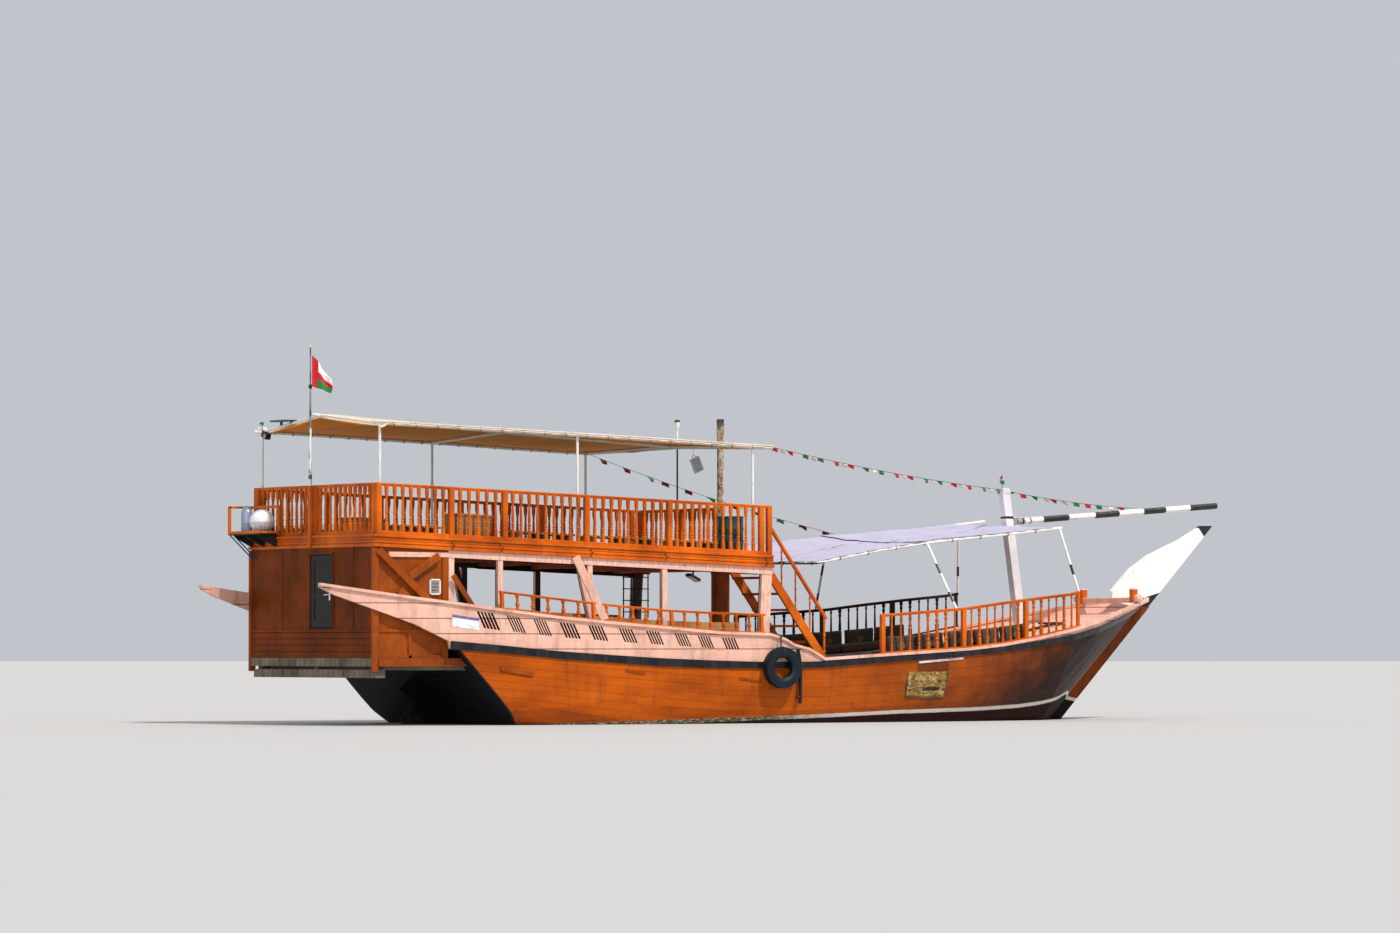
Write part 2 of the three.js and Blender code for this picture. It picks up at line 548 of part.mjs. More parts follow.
// Stairs from the foredeck to the upper deck
const stairs = { y: [-1700, -650], top: [-640, 2440], slope: 1.34, half: 120, width: 50, rise: 262, tread: 230 };
const stairX = (z) => stairs.top[0] + (stairs.top[1] - z) / stairs.slope;
const stairZ = (x) => stairs.top[1] - stairs.slope * (x - stairs.top[0]);
const meetDeck = (offset) => {
  const x = stairX(deckTop(450) - offset);
  return [x, deckTop(x) + 1];
};
const upperEnd = upperFore + gap;
const stringer = [[upperEnd, stairZ(upperEnd) - stairs.half], meetDeck(-stairs.half), meetDeck(stairs.half),
  [upperEnd + 90, stairZ(upperEnd + 90) + stairs.half], [upperEnd, stairZ(upperEnd + 90) + stairs.half]];
const treads = Array.from({ length: 5 }, (_, k) => stairs.top[1] - 60 - k * stairs.rise).map((z) =>
  box(stairX(z) - stairs.tread / 2, stairX(z) + stairs.tread / 2, stairs.y[0], stairs.y[1], z - 35, z));
const outerY = stairs.y[0];
const handRail = [
  bar([-690, outerY, 3280], [470, outerY, 1690], 50, 60),
  ...[[-680, 55], [-400, 40], [-130, 40], [150, 40], [430, 55]].map(([x, width]) =>
    bar([x, outerY, stairZ(x) + 20], [x, outerY, 3266 - 1.371 * (x + 680)], width)),
];
node('stairs', join([...stairs.y.map((y) => board(stringer, y - stairs.width / 2, y + stairs.width / 2)),
  ...treads, ...handRail]), orange, 0.6);

// Canopy over the upper deck: x to starboard, x to port, edge height each side, rise at the middle
const roof = [
  [-8170, -8170, 4735, 4708, 205],
  [-8025, -8025, 4730, 4703, 201],
  [-4430, -4880, 4605, 4583, 110],
  [-1120, -1940, 4478, 4455, 60],
  [-740, -1890, 4464, 4456, 55],
];
const roofHalf = 1952;
const roofAt = ([xs, xp, zs, zp, rise], y) => {
  const t = (y + roofHalf) / (2 * roofHalf);
  return [xs + (xp - xs) * t, y, zs + (zp - zs) * t + rise * (1 - Math.abs(y) / roofHalf)];
};
const carried = roof.slice(1, 4);   // rows that stand on posts
const run = (points, diameter) => points.slice(1).map((p, i) => tube(points[i], p, diameter, 6));
node('canopy_frame', join([
  ...[-roofHalf, 0, roofHalf].flatMap((y) => run(roof.map((row) => roofAt(row, y)), 2 * tubeR)),
  ...roof.slice(1).flatMap((row) => run([-roofHalf, 0, roofHalf].map((y) => roofAt(row, y)), 2 * tubeR)),
  ...carried.flatMap((row) => [-roofHalf, roofHalf].map((y) => {
    const [x, , z] = roofAt(row, y);
    return tube([x, y, upperTop(x - tubeR) + gap], [x, y, z], 2 * tubeR, 8);
  })),
]), white, 0.5);
const sheetAt = (points, low, high) => [...points.map(([x, y, z]) => [x, y, z + low]),
  ...points.map(([x, y, z]) => [x, y, z + high]).reverse()];
const roofEdge = roofHalf + 100;
node('canopy', loft(roof.map((row) => sheetAt([-roofEdge, -roofHalf, 0, roofHalf, roofEdge].map((y) =>
  roofAt(row, y)), tubeR + 0.6, tubeR + 13))), olive, 0.9);

// Flag pole at the stern, with its flag
const pole = { x: cabinAft - 23, radius: 22, top: 6030 };
node('flag_pole', join([tube([pole.x, 0, 2810], [pole.x, 0, pole.top], 2 * pole.radius, 8),
  box(cabinAft - 30, cabinAft - gap, -60, 60, 2860, 2900)]), grey, 0.5);
const hoist = pole.x + pole.radius + gap;
node('flag', board([[hoist, 5370], [hoist, 5880], [hoist + 350, 5480], [hoist + 370, 5260]], -12, 12),
  white, 0.9);

// Awning over the foredeck: x, height of the starboard edge, height of the port edge
const awning = [
  [upperFore - 20, 2600, 2680],
  [390, 2610, 2850],
  [1720, 2840, 3020],
  [2740, 2980, 3110],
  [4310, 3130, 3245],
  [5200, 3225, 3330],
];
const awningHalf = 1500;
const awningEnd = 5840;
const edge = (side) => [...awning.map(([x, zs, zp]) => [x, side * awningHalf, side < 0 ? zs : zp]),
  side < 0 ? [5340, -awningHalf, 3240] : [awningEnd, awningHalf, 3405]];
const awningZ = (side, x) => along(edge(side).map(([px, , z]) => [px, z]), x, 1);
const poles = [[2600, 2760], [5290, 5480]];   // x at the head and at the foot, which stands on the hand rail
const handTop = (s) => loft(bowRailPath.map(([x, y, , top]) => {
  const [a, b] = [s * y - 80, s * y + 80];
  return [[x, a, top - 90], [x, b, top - 90], [x, b, top + gap], [x, a, top + gap]];
}));
node('awning_frame', cut(join([
  ...[-1, 1].flatMap((s) => run(edge(s), 2 * tubeR)),
  ...[1720, 5050].map((x) => tube([x, -awningHalf, awningZ(-1, x)], [x, awningHalf, awningZ(1, x)], 2 * tubeR, 6)),
  ...poles.flatMap(([head, foot]) => [-1, 1].map((s) => {
    const [y, z] = [along(bowRailPath, foot, 1), along(bowRailPath, foot, 3) - 30];
    return tube([foot, s * y, z], [head, s * awningHalf, awningZ(s, head)], 2 * tubeR, 8);
  })),
]), handTop(-1), handTop(1), box(upperFore - 100, upperFore + gap, -1700, 1700, 2300, 3000)), grey, 0.5, 0.3);
const cloth = [[-320, 40], [390, 60], [1720, 0], [2740, 75], [4310, 75], [5050, 0], [5130, 5]];   // x, sag
node('awning', loft(cloth.map(([x, sag]) => sheetAt(
  [-1, -0.5, 0, 0.5, 1].map((t) => [x, t * (awningHalf + 20),
    along(awning, x, 1) * (1 - t) / 2 + along(awning, x, 2) * (1 + t) / 2 - sag * (1 - t * t)]),
  tubeR + 3, tubeR + 15))), lavender, 0.9);

// Mast and boom
const mast = { top: [5190, 3940], slope: -0.147, half: 75 };
const mastX = (z) => mast.top[0] + mast.slope * (z - mast.top[1]);
const mastFoot = [-1, 1].map((s) => mastX(1450) + s * mast.half);
const boomHeel = [5412, 3370];
const boomTip = [9700, 3690];
const mastAxis = new THREE.Vector2(mast.slope, 1).normalize();
const onAxis = (height, out = 0) => [boomHeel[0] + mastAxis.x * height + mastAxis.y * out, 0,
  boomHeel[1] + mastAxis.y * height - mastAxis.x * out];
const plateOf = (low, high) => board([onAxis(low, -90), onAxis(low, 34), onAxis(high, 34), onAxis(high, -90)]
  .map(([x, , z]) => [x, z]), -34, 34);
node('mast', join([
  board([[mastFoot[0], deckTop(mastFoot[0]) + 0.3], [mastFoot[1], deckTop(mastFoot[1]) + 0.3],
    [mast.top[0] + mast.half, mast.top[1]], [mast.top[0] - mast.half, mast.top[1]]], -mast.half, mast.half),
  plateOf(-80, -66), plateOf(66, 80), tube(onAxis(-75), onAxis(75), 24, 12),
]), white, 0.6);
const boomStart = [boomHeel[0] + 58, boomHeel[1] + 4];
node('boom', join([
  tube([boomStart[0], 0, boomStart[1]], [boomTip[0], 0, boomTip[1]], 105, 10),
  cut(join([tube(onAxis(-64), onAxis(64), 56, 12), bar(onAxis(0, 10), [boomStart[0] + 60, 0, boomStart[1]], 50, 80)]),
    tube(onAxis(-90), onAxis(90), 26, 12)),
]), white, 0.6);

// Funnel: a boxed column below the upper deck and a bare pipe above it
node('funnel', join([
  tube([pipe.x, pipe.y, deckTop(pipe.x - 160) + 1], [pipe.x, pipe.y, upperFoot(pipe.x + 160) - gap], 320, 16),
  tube([pipe.x, pipe.y, 1500], [pipe.x, pipe.y, pipe.top], 2 * pipe.radius, 16),
]), orange, 0.6);

// Beam across the bow with its bitts and knobs
const bow = { x: [7345, 7425], half: 880, post: 760, top: 2080 };
const bowFoot = along(lines, bow.x[1], CAP) + gap;
const knob = (y) => new THREE.SphereGeometry(46, 12, 8).translate((bow.x[0] + bow.x[1]) / 2, y, bowFoot + 48);
node('bow_crossbeam', join([
  box(...bow.x, -bow.half, bow.half, bowFoot, bow.top),
  ...[-1, 1].flatMap((s) => [knob(s * (bow.half + 25)),
    box(bow.x[0] + 4, bow.x[1] - 4, s * bow.post - 36, s * bow.post + 36, bowFoot + 10, 2195)]),
]), pink, 0.7);

// Stem head, the long white board that carries on the stem's line
const bladeBack = [[7440, 2190], [7610, 2370], [7850, 2590], [8230, 2820], [8590, 2970], [8890, 3090], [9290, 3300],
  [9350, 3340]];
node('stem_head', board([onStem(stemTop + gap, stemWidth + 90), [7440, 2035], ...bladeBack, stemTip,
  onStem(stemTop + gap)], -45, 45), white, 0.5);

// Shelf behind the stern rail, with a round float case and a gas bottle on it
const shelf = { x: [-8590, cabinAft - gap], y: [1050, 2060], z: 3060, rim: 3290 };
const corners = [shelf.x[0] + 14, shelf.x[1] - 14].flatMap((x) => shelf.y.map((y, i) => [x, y + (i ? -14 : 14)]));
node('stern_shelf', join([
  box(...shelf.x, ...shelf.y, shelf.z - 30, shelf.z),
  ...[1150, 1950].map((y) => board([[shelf.x[1], 2830], [shelf.x[1], shelf.z - 20], [shelf.x[0] + 60, shelf.z - 20]],
    y - 15, y + 15)),
  ...corners.map(([x, y]) => bar([x, y, shelf.z - 10], [x, y, shelf.rim], 28)),
  box(shelf.x[0], shelf.x[0] + 28, ...shelf.y, shelf.rim - 28, shelf.rim),
  ...[0, 1].map((i) => box(...shelf.x, shelf.y[i] - (i ? 28 : 0), shelf.y[i] + (i ? 0 : 28), shelf.rim - 28,
    shelf.rim)),
]), darkWood, 0.7);
const ball = 200;
node('float_case', join([new THREE.SphereGeometry(ball, 20, 14).translate(-8360, 1330, shelf.z + gap + ball - 14),
]).trimByPlane([0, 0, 1], shelf.z + gap), white, 0.4);
const bottle = [[0, 0], [86, 0], [92, 20], [92, 340], [70, 390], [34, 415], [30, 445], [0, 445]];
node('gas_bottle', new THREE.LatheGeometry(bottle.map(([r, z]) => new THREE.Vector2(r, z)), 16)
  .rotateX(Math.PI / 2).translate(-8390, 1800, shelf.z + gap), teal, 0.45, 0.5);

// Tyre fender and the rope it hangs by
const tyre = { x: -870, z: 900, mean: 250, section: 85 };
const tyreY = -(breadth(tyre.x, tyre.z) + strakeOut + tyre.section + 1);
const ringOf = Array.from({ length: 11 }, (_, k) => new THREE.Vector2(
  tyre.mean + tyre.section * Math.cos(k * Math.PI / 5), tyre.section * Math.sin(k * Math.PI / 5)));
const ropeTop = [tyre.x, -(breadth(tyre.x, 1400) + 35 + 12.2), 1415];
node('tyre_fender', join([
  new THREE.LatheGeometry(ringOf, 24).translate(tyre.x, 0, 0).translate(0, tyreY, tyre.z),
  tube(ropeTop, [tyre.x, tyreY + 20, tyre.z + tyre.mean + 40], 24, 8),
]), black, 0.8);

// Lamp post and drum on the upper deck, anchor on the bow deck
const lamp = [-1000, 560];
node('lamp_post', join([
  tube([...lamp, upperTop(lamp[0] - 25) + gap], [...lamp, 5000], 30, 8),
  tube([...lamp, 4860], [...lamp, 4980], 90, 12),
]), grey, 0.5);
const drum = [-1260, -1500];
node('drum', tube([...drum, upperTop(drum[0] - 230) + gap], [...drum, upperTop(drum[0]) + 620], 440, 20), teal, 0.6);
const anchor = { x: 6300, y: 300, thick: 44 };
const lying = (x, y, lift = 0.6) => [x, y, deckTop(x) + anchor.thick / 2 + lift];
node('anchor', join([
  bar(lying(anchor.x - 420, anchor.y), lying(anchor.x + 190, anchor.y), anchor.thick),
  bar(lying(anchor.x + 170, anchor.y - 210, 6), lying(anchor.x + 170, anchor.y + 210, 6), anchor.thick),
  ...[-1, 1].map((s) => bar(lying(anchor.x + 170, anchor.y + s * 190, 8),
    lying(anchor.x - 10, anchor.y + s * 230, 50), anchor.thick - 6)),
]), black, 0.7, 0.6);

export default dhow;
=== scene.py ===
import math
import random
from contextlib import contextmanager

import bpy
from mathutils import Matrix, Vector


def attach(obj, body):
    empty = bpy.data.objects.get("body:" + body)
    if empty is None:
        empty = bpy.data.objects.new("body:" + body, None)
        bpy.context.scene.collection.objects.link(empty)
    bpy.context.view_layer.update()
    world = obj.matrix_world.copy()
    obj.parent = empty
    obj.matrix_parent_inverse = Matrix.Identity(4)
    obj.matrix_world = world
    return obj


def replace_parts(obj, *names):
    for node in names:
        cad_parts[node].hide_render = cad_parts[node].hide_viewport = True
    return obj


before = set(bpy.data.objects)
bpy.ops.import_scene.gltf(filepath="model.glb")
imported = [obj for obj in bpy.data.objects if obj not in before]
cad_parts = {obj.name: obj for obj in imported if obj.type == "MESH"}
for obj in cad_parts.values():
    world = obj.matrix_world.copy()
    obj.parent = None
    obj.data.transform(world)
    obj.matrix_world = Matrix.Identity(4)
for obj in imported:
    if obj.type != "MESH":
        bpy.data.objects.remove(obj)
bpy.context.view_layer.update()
print("frame loaded:", len(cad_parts), "nodes")

# Camera where the photograph was taken from: far off the starboard quarter, just above the water
view = {
    "place": (-54.086, -85.106, 1.25),
    "turn": (91.691, 0.0, -32.0),         # degrees
    "lens": 156.34,
    "sensor": 36.0,
    "reach": 500,
}


def addCamera():
    data = bpy.data.cameras.new("camera")
    data.lens = view["lens"]
    data.sensor_width = view["sensor"]
    data.clip_end = view["reach"]
    camera = bpy.data.objects.new("camera", data)
    camera.location = view["place"]
    camera.rotation_euler = [math.radians(a) for a in view["turn"]]
    bpy.context.scene.collection.objects.link(camera)
    bpy.context.scene.camera = camera


addCamera()

# Studio: a pale floor at the waterline, a soft sky, a high sun and a weak fill light
studio = {
    "floorSize": 900,
    "floorColour": (0.5, 0.5, 0.5),
    "floorRough": 0.8,
    "sky": (0.86, 0.9, 0.96),
    "skyStrength": 0.62,
    # turn in degrees, strength, softness in degrees, colour
    "sun": ((34, 0, 17), 3.3, 3, (1.0, 0.93, 0.84)),
    "fill": ((74, 0, -50), 0.5, 40, (0.9, 0.95, 1.0)),
}


def addSun(name):
    turn, strength, softness, colour = studio[name]
    light = bpy.data.lights.new(name, "SUN")
    light.energy = strength
    light.angle = math.radians(softness)
    light.color = colour
    lamp = bpy.data.objects.new(name, light)
    lamp.rotation_euler = [math.radians(a) for a in turn]
    bpy.context.scene.collection.objects.link(lamp)


def addStudio():
    world = bpy.data.worlds.new("studio")
    bpy.context.scene.world = world
    world.use_nodes = True
    background = world.node_tree.nodes["Background"]
    background.inputs["Color"].default_value = (*studio["sky"], 1)
    background.inputs["Strength"].default_value = studio["skyStrength"]
    addSun("sun")
    addSun("fill")
    bpy.ops.mesh.primitive_plane_add(size=studio["floorSize"], location=(0, 0, 0))
    floor = bpy.context.object
    floor.name = "floor"
    material = bpy.data.materials.new("floorGrey")
    material.use_nodes = True
    shader = material.node_tree.nodes["Principled BSDF"]
    shader.inputs["Base Color"].default_value = (*studio["floorColour"], 1)
    shader.inputs["Roughness"].default_value = studio["floorRough"]
    floor.data.materials.append(material)


addStudio()
bpy.context.scene.view_settings.view_transform = "Standard"
print("camera and studio ready")


# Shader maths: a wrapped socket takes + - * / and comparisons, and each adds its own node
class Value:
    def __init__(self, shader, socket):
        self.shader = shader
        self.socket = socket

    def math(self, operation, *others):
        return self.shader.make("ShaderNodeMath", {"operation": operation}, [self, *others])

    __add__ = __radd__ = lambda self, other: self.math("ADD", other)
    __mul__ = __rmul__ = lambda self, other: self.math("MULTIPLY", other)
    __sub__ = lambda self, other: self.math("SUBTRACT", other)
    __truediv__ = lambda self, other: self.math("DIVIDE", other)
    __pow__ = lambda self, other: self.math("POWER", other)
    __gt__ = lambda self, other: self.math("GREATER_THAN", other)
    __lt__ = lambda self, other: self.math("LESS_THAN", other)

    def __rsub__(self, other):
        return self.shader.make("ShaderNodeMath", {"operation": "SUBTRACT"}, [other, self])

    def size(self):                       # without its sign
        return self.math("ABSOLUTE")

    def clamped(self):
        return self.shader.make("ShaderNodeMath", {"operation": "ADD", "use_clamp": True}, [self, 0.0])

    def above(self, edge, soft):          # 0 below the edge, 1 past it
        return ((self - edge) / soft + 0.5).clamped()

    def wave(self):                       # distance to the nearest whole number, 0 to 0.5
        return (self - self.math("ROUND")).size()


class Shader:
    def __init__(self, name, rough=0.6, metal=0.0, gloss=0.5):
        self.material = bpy.data.materials.new(name)
        self.material.use_nodes = True
        self.nodes = self.material.node_tree.nodes
        self.links = self.material.node_tree.links
        self.surface = self.nodes["Principled BSDF"]
        self.put("Roughness", rough)
        self.put("Metallic", metal)
        self.put("Specular IOR Level", gloss)
        self.place = self.coords("Object")
        self.x, self.y, self.z = self.axes(self.place)

    def make(self, kind, settings=None, inputs=(), output=0):
        node = self.nodes.new(kind)
        for key, setting in (settings or {}).items():
            if key == "stops":
                self.setStops(node.color_ramp, setting)
            else:
                setattr(node, key, setting)
        pairs = inputs.items() if isinstance(inputs, dict) else enumerate(inputs)
        for key, given in pairs:
            if isinstance(given, Value):
                self.links.new(given.socket, node.inputs[key])
            else:
                node.inputs[key].default_value = given
        return Value(self, node.outputs[output])

    def setStops(self, ramp, stops):
        while len(ramp.elements) < len(stops):
            ramp.elements.new(0.5)
        for element, (place, colour) in zip(ramp.elements, stops):
            element.position = place
            element.color = (*colour, 1)

    def put(self, name, value):
        socket = self.surface.inputs[name]
        if isinstance(value, Value):
            self.links.new(value.socket, socket)
        else:
            socket.default_value = value

    def coords(self, kind):
        return self.make("ShaderNodeTexCoord", output=kind)

    def axes(self, vector):
        return [self.make("ShaderNodeSeparateXYZ", inputs=[vector], output=k) for k in range(3)]

    def facing(self):                     # which way the surface looks, along X, Y and Z
        return self.axes(self.make("ShaderNodeNewGeometry", output="Normal"))

    def along(self, x, y=0.0):            # a place that changes with these values only
        return self.make("ShaderNodeCombineXYZ", inputs=[x, y, 0.0])

    def noise(self, scale, detail, rough=0.5, stretch=None, turn=(0, 0, 0), at=None):
        at = at or self.place
        if stretch:
            at = self.make("ShaderNodeMapping", inputs={"Vector": at, "Scale": stretch, "Rotation": turn})
        return self.make("ShaderNodeTexNoise", inputs={
            "Vector": at, "Scale": scale, "Detail": detail, "Roughness": rough})

    def ramp(self, factor, stops):
        return self.make("ShaderNodeValToRGB", {"stops": stops}, [factor])

    def mix(self, factor, first, second, blend="MIX"):
        first, second = [c if isinstance(c, Value) else (*c, 1) for c in (first, second)]
        return self.make("ShaderNodeMix", {"data_type": "RGBA", "blend_type": blend},
                         {0: factor, 6: first, 7: second}, output=2)

    def coated(self, colour, *coats):     # each coat: how much of it, and its colour
        for factor, coat in coats:
            colour = self.mix(factor, colour, coat)
        return colour

    def finished(self, colour, rough=None, height=None, distance=0.004, strength=0.6):
        self.put("Base Color", colour)
        if rough:
            self.put("Roughness", rough)
        if height:
            self.put("Normal", self.make("ShaderNodeBump", inputs={
                "Height": height, "Strength": strength, "Distance": distance}))
        return self.material


def rgb(red, green, blue):                # a paint chart's 0 to 255 to linear light
    parts = [c / 255 for c in (red, green, blue)]
    return tuple(c / 12.92 if c < 0.043 else ((c + 0.055) / 1.055) ** 2.4 for c in parts)


# Painted timber: colour that drifts from board to board, brushed grain, grime and rubbed spots
timberPaint = {
    "rail": {"colour": rgb(236, 118, 16), "deep": rgb(178, 78, 8), "rough": 0.4},
    "cabin": {"colour": rgb(136, 58, 0), "deep": rgb(84, 36, 0), "rough": 0.34, "gloss": 0.06},
    "side": {"colour": rgb(176, 84, 14), "deep": rgb(124, 56, 10), "rough": 0.36},
    "pink": {"colour": rgb(244, 200, 182), "deep": rgb(222, 172, 154), "rough": 0.5},
    "white": {"colour": rgb(244, 242, 244), "deep": rgb(208, 208, 216), "rough": 0.45},
    "shade": {"colour": rgb(70, 40, 26), "deep": rgb(34, 22, 18), "rough": 0.6},
    "tan": {"colour": rgb(206, 158, 104), "deep": rgb(160, 112, 66), "rough": 0.6},
}


def timber(name, kind, stretch, grime=0.35, boards=None, chips=0.0, bare=rgb(120, 96, 78), slots=None):
    look = timberPaint[kind]
    deep = look["deep"]
    paint = Shader(name, look["rough"], gloss=look.get("gloss", 0.16))
    grain = paint.noise(7, 7, 0.62, stretch)
    colour = paint.mix(paint.noise(1.1, 4, 0.6).above(0.5, 0.35), deep, look["colour"])
    colour = paint.mix((1 - grain.above(0.46, 0.3)) * 0.35, colour, deep, "MULTIPLY")
    height = grain * 0.4
    if boards:                            # axis and width of the boards
        axis, width = boards
        across = (paint.x, paint.y, paint.z)[axis] / width
        seam = 1 - across.wave().above(0.03, 0.03)
        shade = paint.noise(1.0, 0, at=paint.along(across.math("FLOOR") * 7.3))
        colour = paint.coated(colour, (shade.above(0.5, 0.5) * 0.25, deep), (seam * 0.75, rgb(46, 24, 14)))
        height = height - seam * 2.5
    dirt = paint.noise(2.4, 8, 0.7, (2.2, 2.2, 0.6)).above(0.6, 0.22)
    colour = paint.mix(dirt * grime, colour, rgb(70, 46, 32))
    if chips:
        chip = paint.noise(9, 8, 0.72, stretch) + paint.noise(1.6, 3) * 0.6
        flake = chip.above(1.1 - chips * 0.16, 0.03)
        colour = paint.mix(flake * 0.7, colour, bare)
        height = height - flake * 0.8
    if slots:                             # painted shade: the slots' cut edges are painted dark between these two places
        aft, fore = slots
        edge = paint.facing()[0].size().above(0.5, 0.1)
        slotShade = edge * paint.x.above(aft, 0.01) * (1 - paint.x.above(fore, 0.01))
        colour = paint.mix(slotShade, colour, rgb(52, 24, 18))
    return paint.finished(colour, look["rough"] + grain * 0.18 + dirt * 0.25, height)


# Hull: planks that follow the sheer, a white stripe along the water and antifouling under it
hullLook = {
    "colour": rgb(204, 96, 8),
    "deep": rgb(156, 68, 6),
    "caulk": rgb(96, 44, 12),
    "bowShadeAndSalt": rgb(62, 38, 26),             # painted shade and salt stain at the bow
    # painted shade for the dark band by the stem
    "stemShade": rgb(16, 15, 16),
    "rubbed": rgb(60, 36, 20),
    "runs": rgb(96, 52, 30),
    "stripe": rgb(224, 214, 208),
    "scuffed": rgb(120, 108, 84),
    "slime": rgb(78, 76, 44),
    "antifouling": rgb(44, 10, 12),
    "weed": rgb(22, 26, 22),
    # painted shade: the transom face is painted near-black
    "tar": rgb(20, 22, 24),
    "strakes": 13,
    "stripeDepth": 0.06,
    # heights along the boat: deck edge, rabbet and the water's upper edge
    "sheer": [(-7.3, 1.4), (-4, 1.14), (-2, 1.02), (0, 1.0), (2, 1.12), (4.5, 1.33), (6, 1.57), (8.1, 2.0)],
    "rabbet": [(-7.3, -0.1), (-4, -0.54), (-1, -0.89), (5.2, -0.8), (6, -0.3), (8.1, 1.6)],
    "water": [(-6.5, 0.01), (-4, 0.04), (-2.3, 0.08), (-0.4, 0.13), (1.65, 0.2), (3.4, 0.235), (4.4, 0.275),
              (5.0, 0.325), (5.5, 0.4), (5.92, 0.5), (6.62, 0.36)],
    # aft low corner and fore top corner of the patched spot
    "patch": (1.69, 0.4, 2.54, 0.83),
}


def follow(paint, table):                 # a height that changes along the boat
    low, high = table[0][0], table[-1][0]
    stops = [((at - low) / (high - low), (0.5 + value / 4,) * 3) for at, value in table]
    return (paint.ramp((paint.x - low) / (high - low), stops) - 0.5) * 4


def hullTimber():
    look = hullLook
    paint = Shader("hullPlanks", gloss=0.12)
    x, z = paint.x, paint.z
    sheer, rabbet = follow(paint, look["sheer"]), follow(paint, look["rabbet"])
    across = (z - rabbet) / (sheer - rabbet) * look["strakes"]
    strake = across.math("FLOOR")
    butts = (x / 3.1 + paint.noise(1.0, 0, at=paint.along(strake * 3.7)) * 5).wave()
    seam = (1 - across.wave().above(0.025, 0.04)).math("MAXIMUM", (1 - butts.above(0.003, 0.003)) * 0.5)
    grain = paint.noise(6, 8, 0.65, (1.2, 6, 14))
    drift = paint.noise(1.6, 6, 0.62, (0.5, 1, 1.4))
    each = paint.noise(1.0, 1, at=paint.along(strake * 5.1, x / 6))
    streak = paint.noise(3.2, 8, 0.7, (1.1, 1.1, 0.5)).above(0.5, 0.3)
    bow = ((x - 0.2 + drift * 2.6) / 6).clamped()        # darker towards the bow: painted shade, with salt stain in streaks
    aftOfStem = 6.32 + z * 0.979 - x      # painted shade: a dark band where the hull turns forward, aft of the planks next to the stem
    unshadedWidth = 0.72 - ((z - 0.9) / 1.1).clamped() * 0.34
    band = (1 - ((aftOfStem - 1.4 - drift * 1.3) / 1.9).clamped()) * (aftOfStem - unshadedWidth).above(0.0, 0.04)
    x0, _, x1, top = look["patch"]        # a rubbed spot over the patch
    rubbed = (x - (x0 + x1) / 2 - 0.12).size() - 0.33 + (grain - 0.5) * 0.1
    rubbed = (1 - rubbed.above(0.0, 0.05)) * (z - top + 0.05).above(0, 0.02)
    rubbed = rubbed * (1 - (z - top - 0.17).above(0, 0.02))
    runs = paint.noise(2.2, 5, 0.6, (5, 5, 0.35)).above(0.62, 0.1)
    colour = paint.coated(
        paint.mix(drift.above(0.5, 0.3), look["deep"], look["colour"]),
        (each.above(0.5, 0.4) * 0.22, look["deep"]), ((1 - grain.above(0.44, 0.25)) * 0.3, look["deep"]),
        (seam * 0.3, look["caulk"]), (bow * (streak * 0.6 + 0.26), look["bowShadeAndSalt"]),
        (band * (streak * 0.14 + 0.85), look["stemShade"]), (rubbed * 0.6, look["rubbed"]),
        (runs * 0.3, look["runs"]))
    edge = follow(paint, look["water"]) + (paint.noise(9, 4, 0.6) - 0.5) * 0.012
    worn = paint.noise(5, 7, 0.7, (2, 2, 9))
    aft = (-0.2 - x / 1.6 + worn).clamped()
    white = paint.coated(look["stripe"], (worn.above(0.62, 0.14) * 0.6, look["scuffed"]),
                         (aft * worn.above(0.42, 0.15), look["slime"]))
    below = (edge - look["stripeDepth"] - z).above(0, 0.012)
    red = ((x + 1.5) / 2.5).clamped() * (1 - ((x - 4.6) / 2.2).clamped() * 0.75)
    bottom = paint.coated(look["weed"], ((red * (0.6 + worn * 0.7)).clamped(), look["antifouling"]),
                          ((0.06 - z + worn * 0.1).above(0.1, 0.06) * 0.7, look["weed"]))
    # the transom face aft of this line is painted near-black as shade
    aftOfTransom = (-5.65 - x) * 0.729 - z * 0.6845
    colour = paint.coated(colour, ((edge - z).above(0, 0.01), white), (below, bottom),
                          (aftOfTransom.above(-0.03, 0.02), look["tar"]))
    return paint.finished(colour, 0.36 + grain * 0.25 + below * 0.25,
                          grain * 0.35 + each * 0.8 - seam * 1.6, 0.006, 0.7)


# Deck planks, scrubbed and grey with dark caulking, laid fore and aft
def deckPlanks(name, light, dark, width, chips):
    paint = Shader(name)
    across = paint.y / width
    plank = across.math("ROUND")
    butts = (paint.x / 2.4 + paint.noise(1.0, 0, at=paint.along(plank * 9.1)) * 6).wave()
    seam = (1 - across.wave().above(0.035, 0.03)).math("MAXIMUM", 1 - butts.above(0.002, 0.003))
    each = paint.noise(1.0, 1, at=paint.along(plank * 4.7, paint.x / 5))
    grain = paint.noise(8, 8, 0.68, (1, 14, 14))
    worn = paint.noise(1.7, 6, 0.65).above(0.55, 0.2)
    colour = paint.coated(dark, (each.above(0.5, 0.45), light), ((1 - grain.above(0.45, 0.3)) * 0.45, dark),
                          (worn * chips, rgb(150, 136, 118)), (seam * 0.85, rgb(24, 18, 16)))
    return paint.finished(colour, 0.6 + grain * 0.25, grain * 0.5 - seam * 2, strength=0.7)


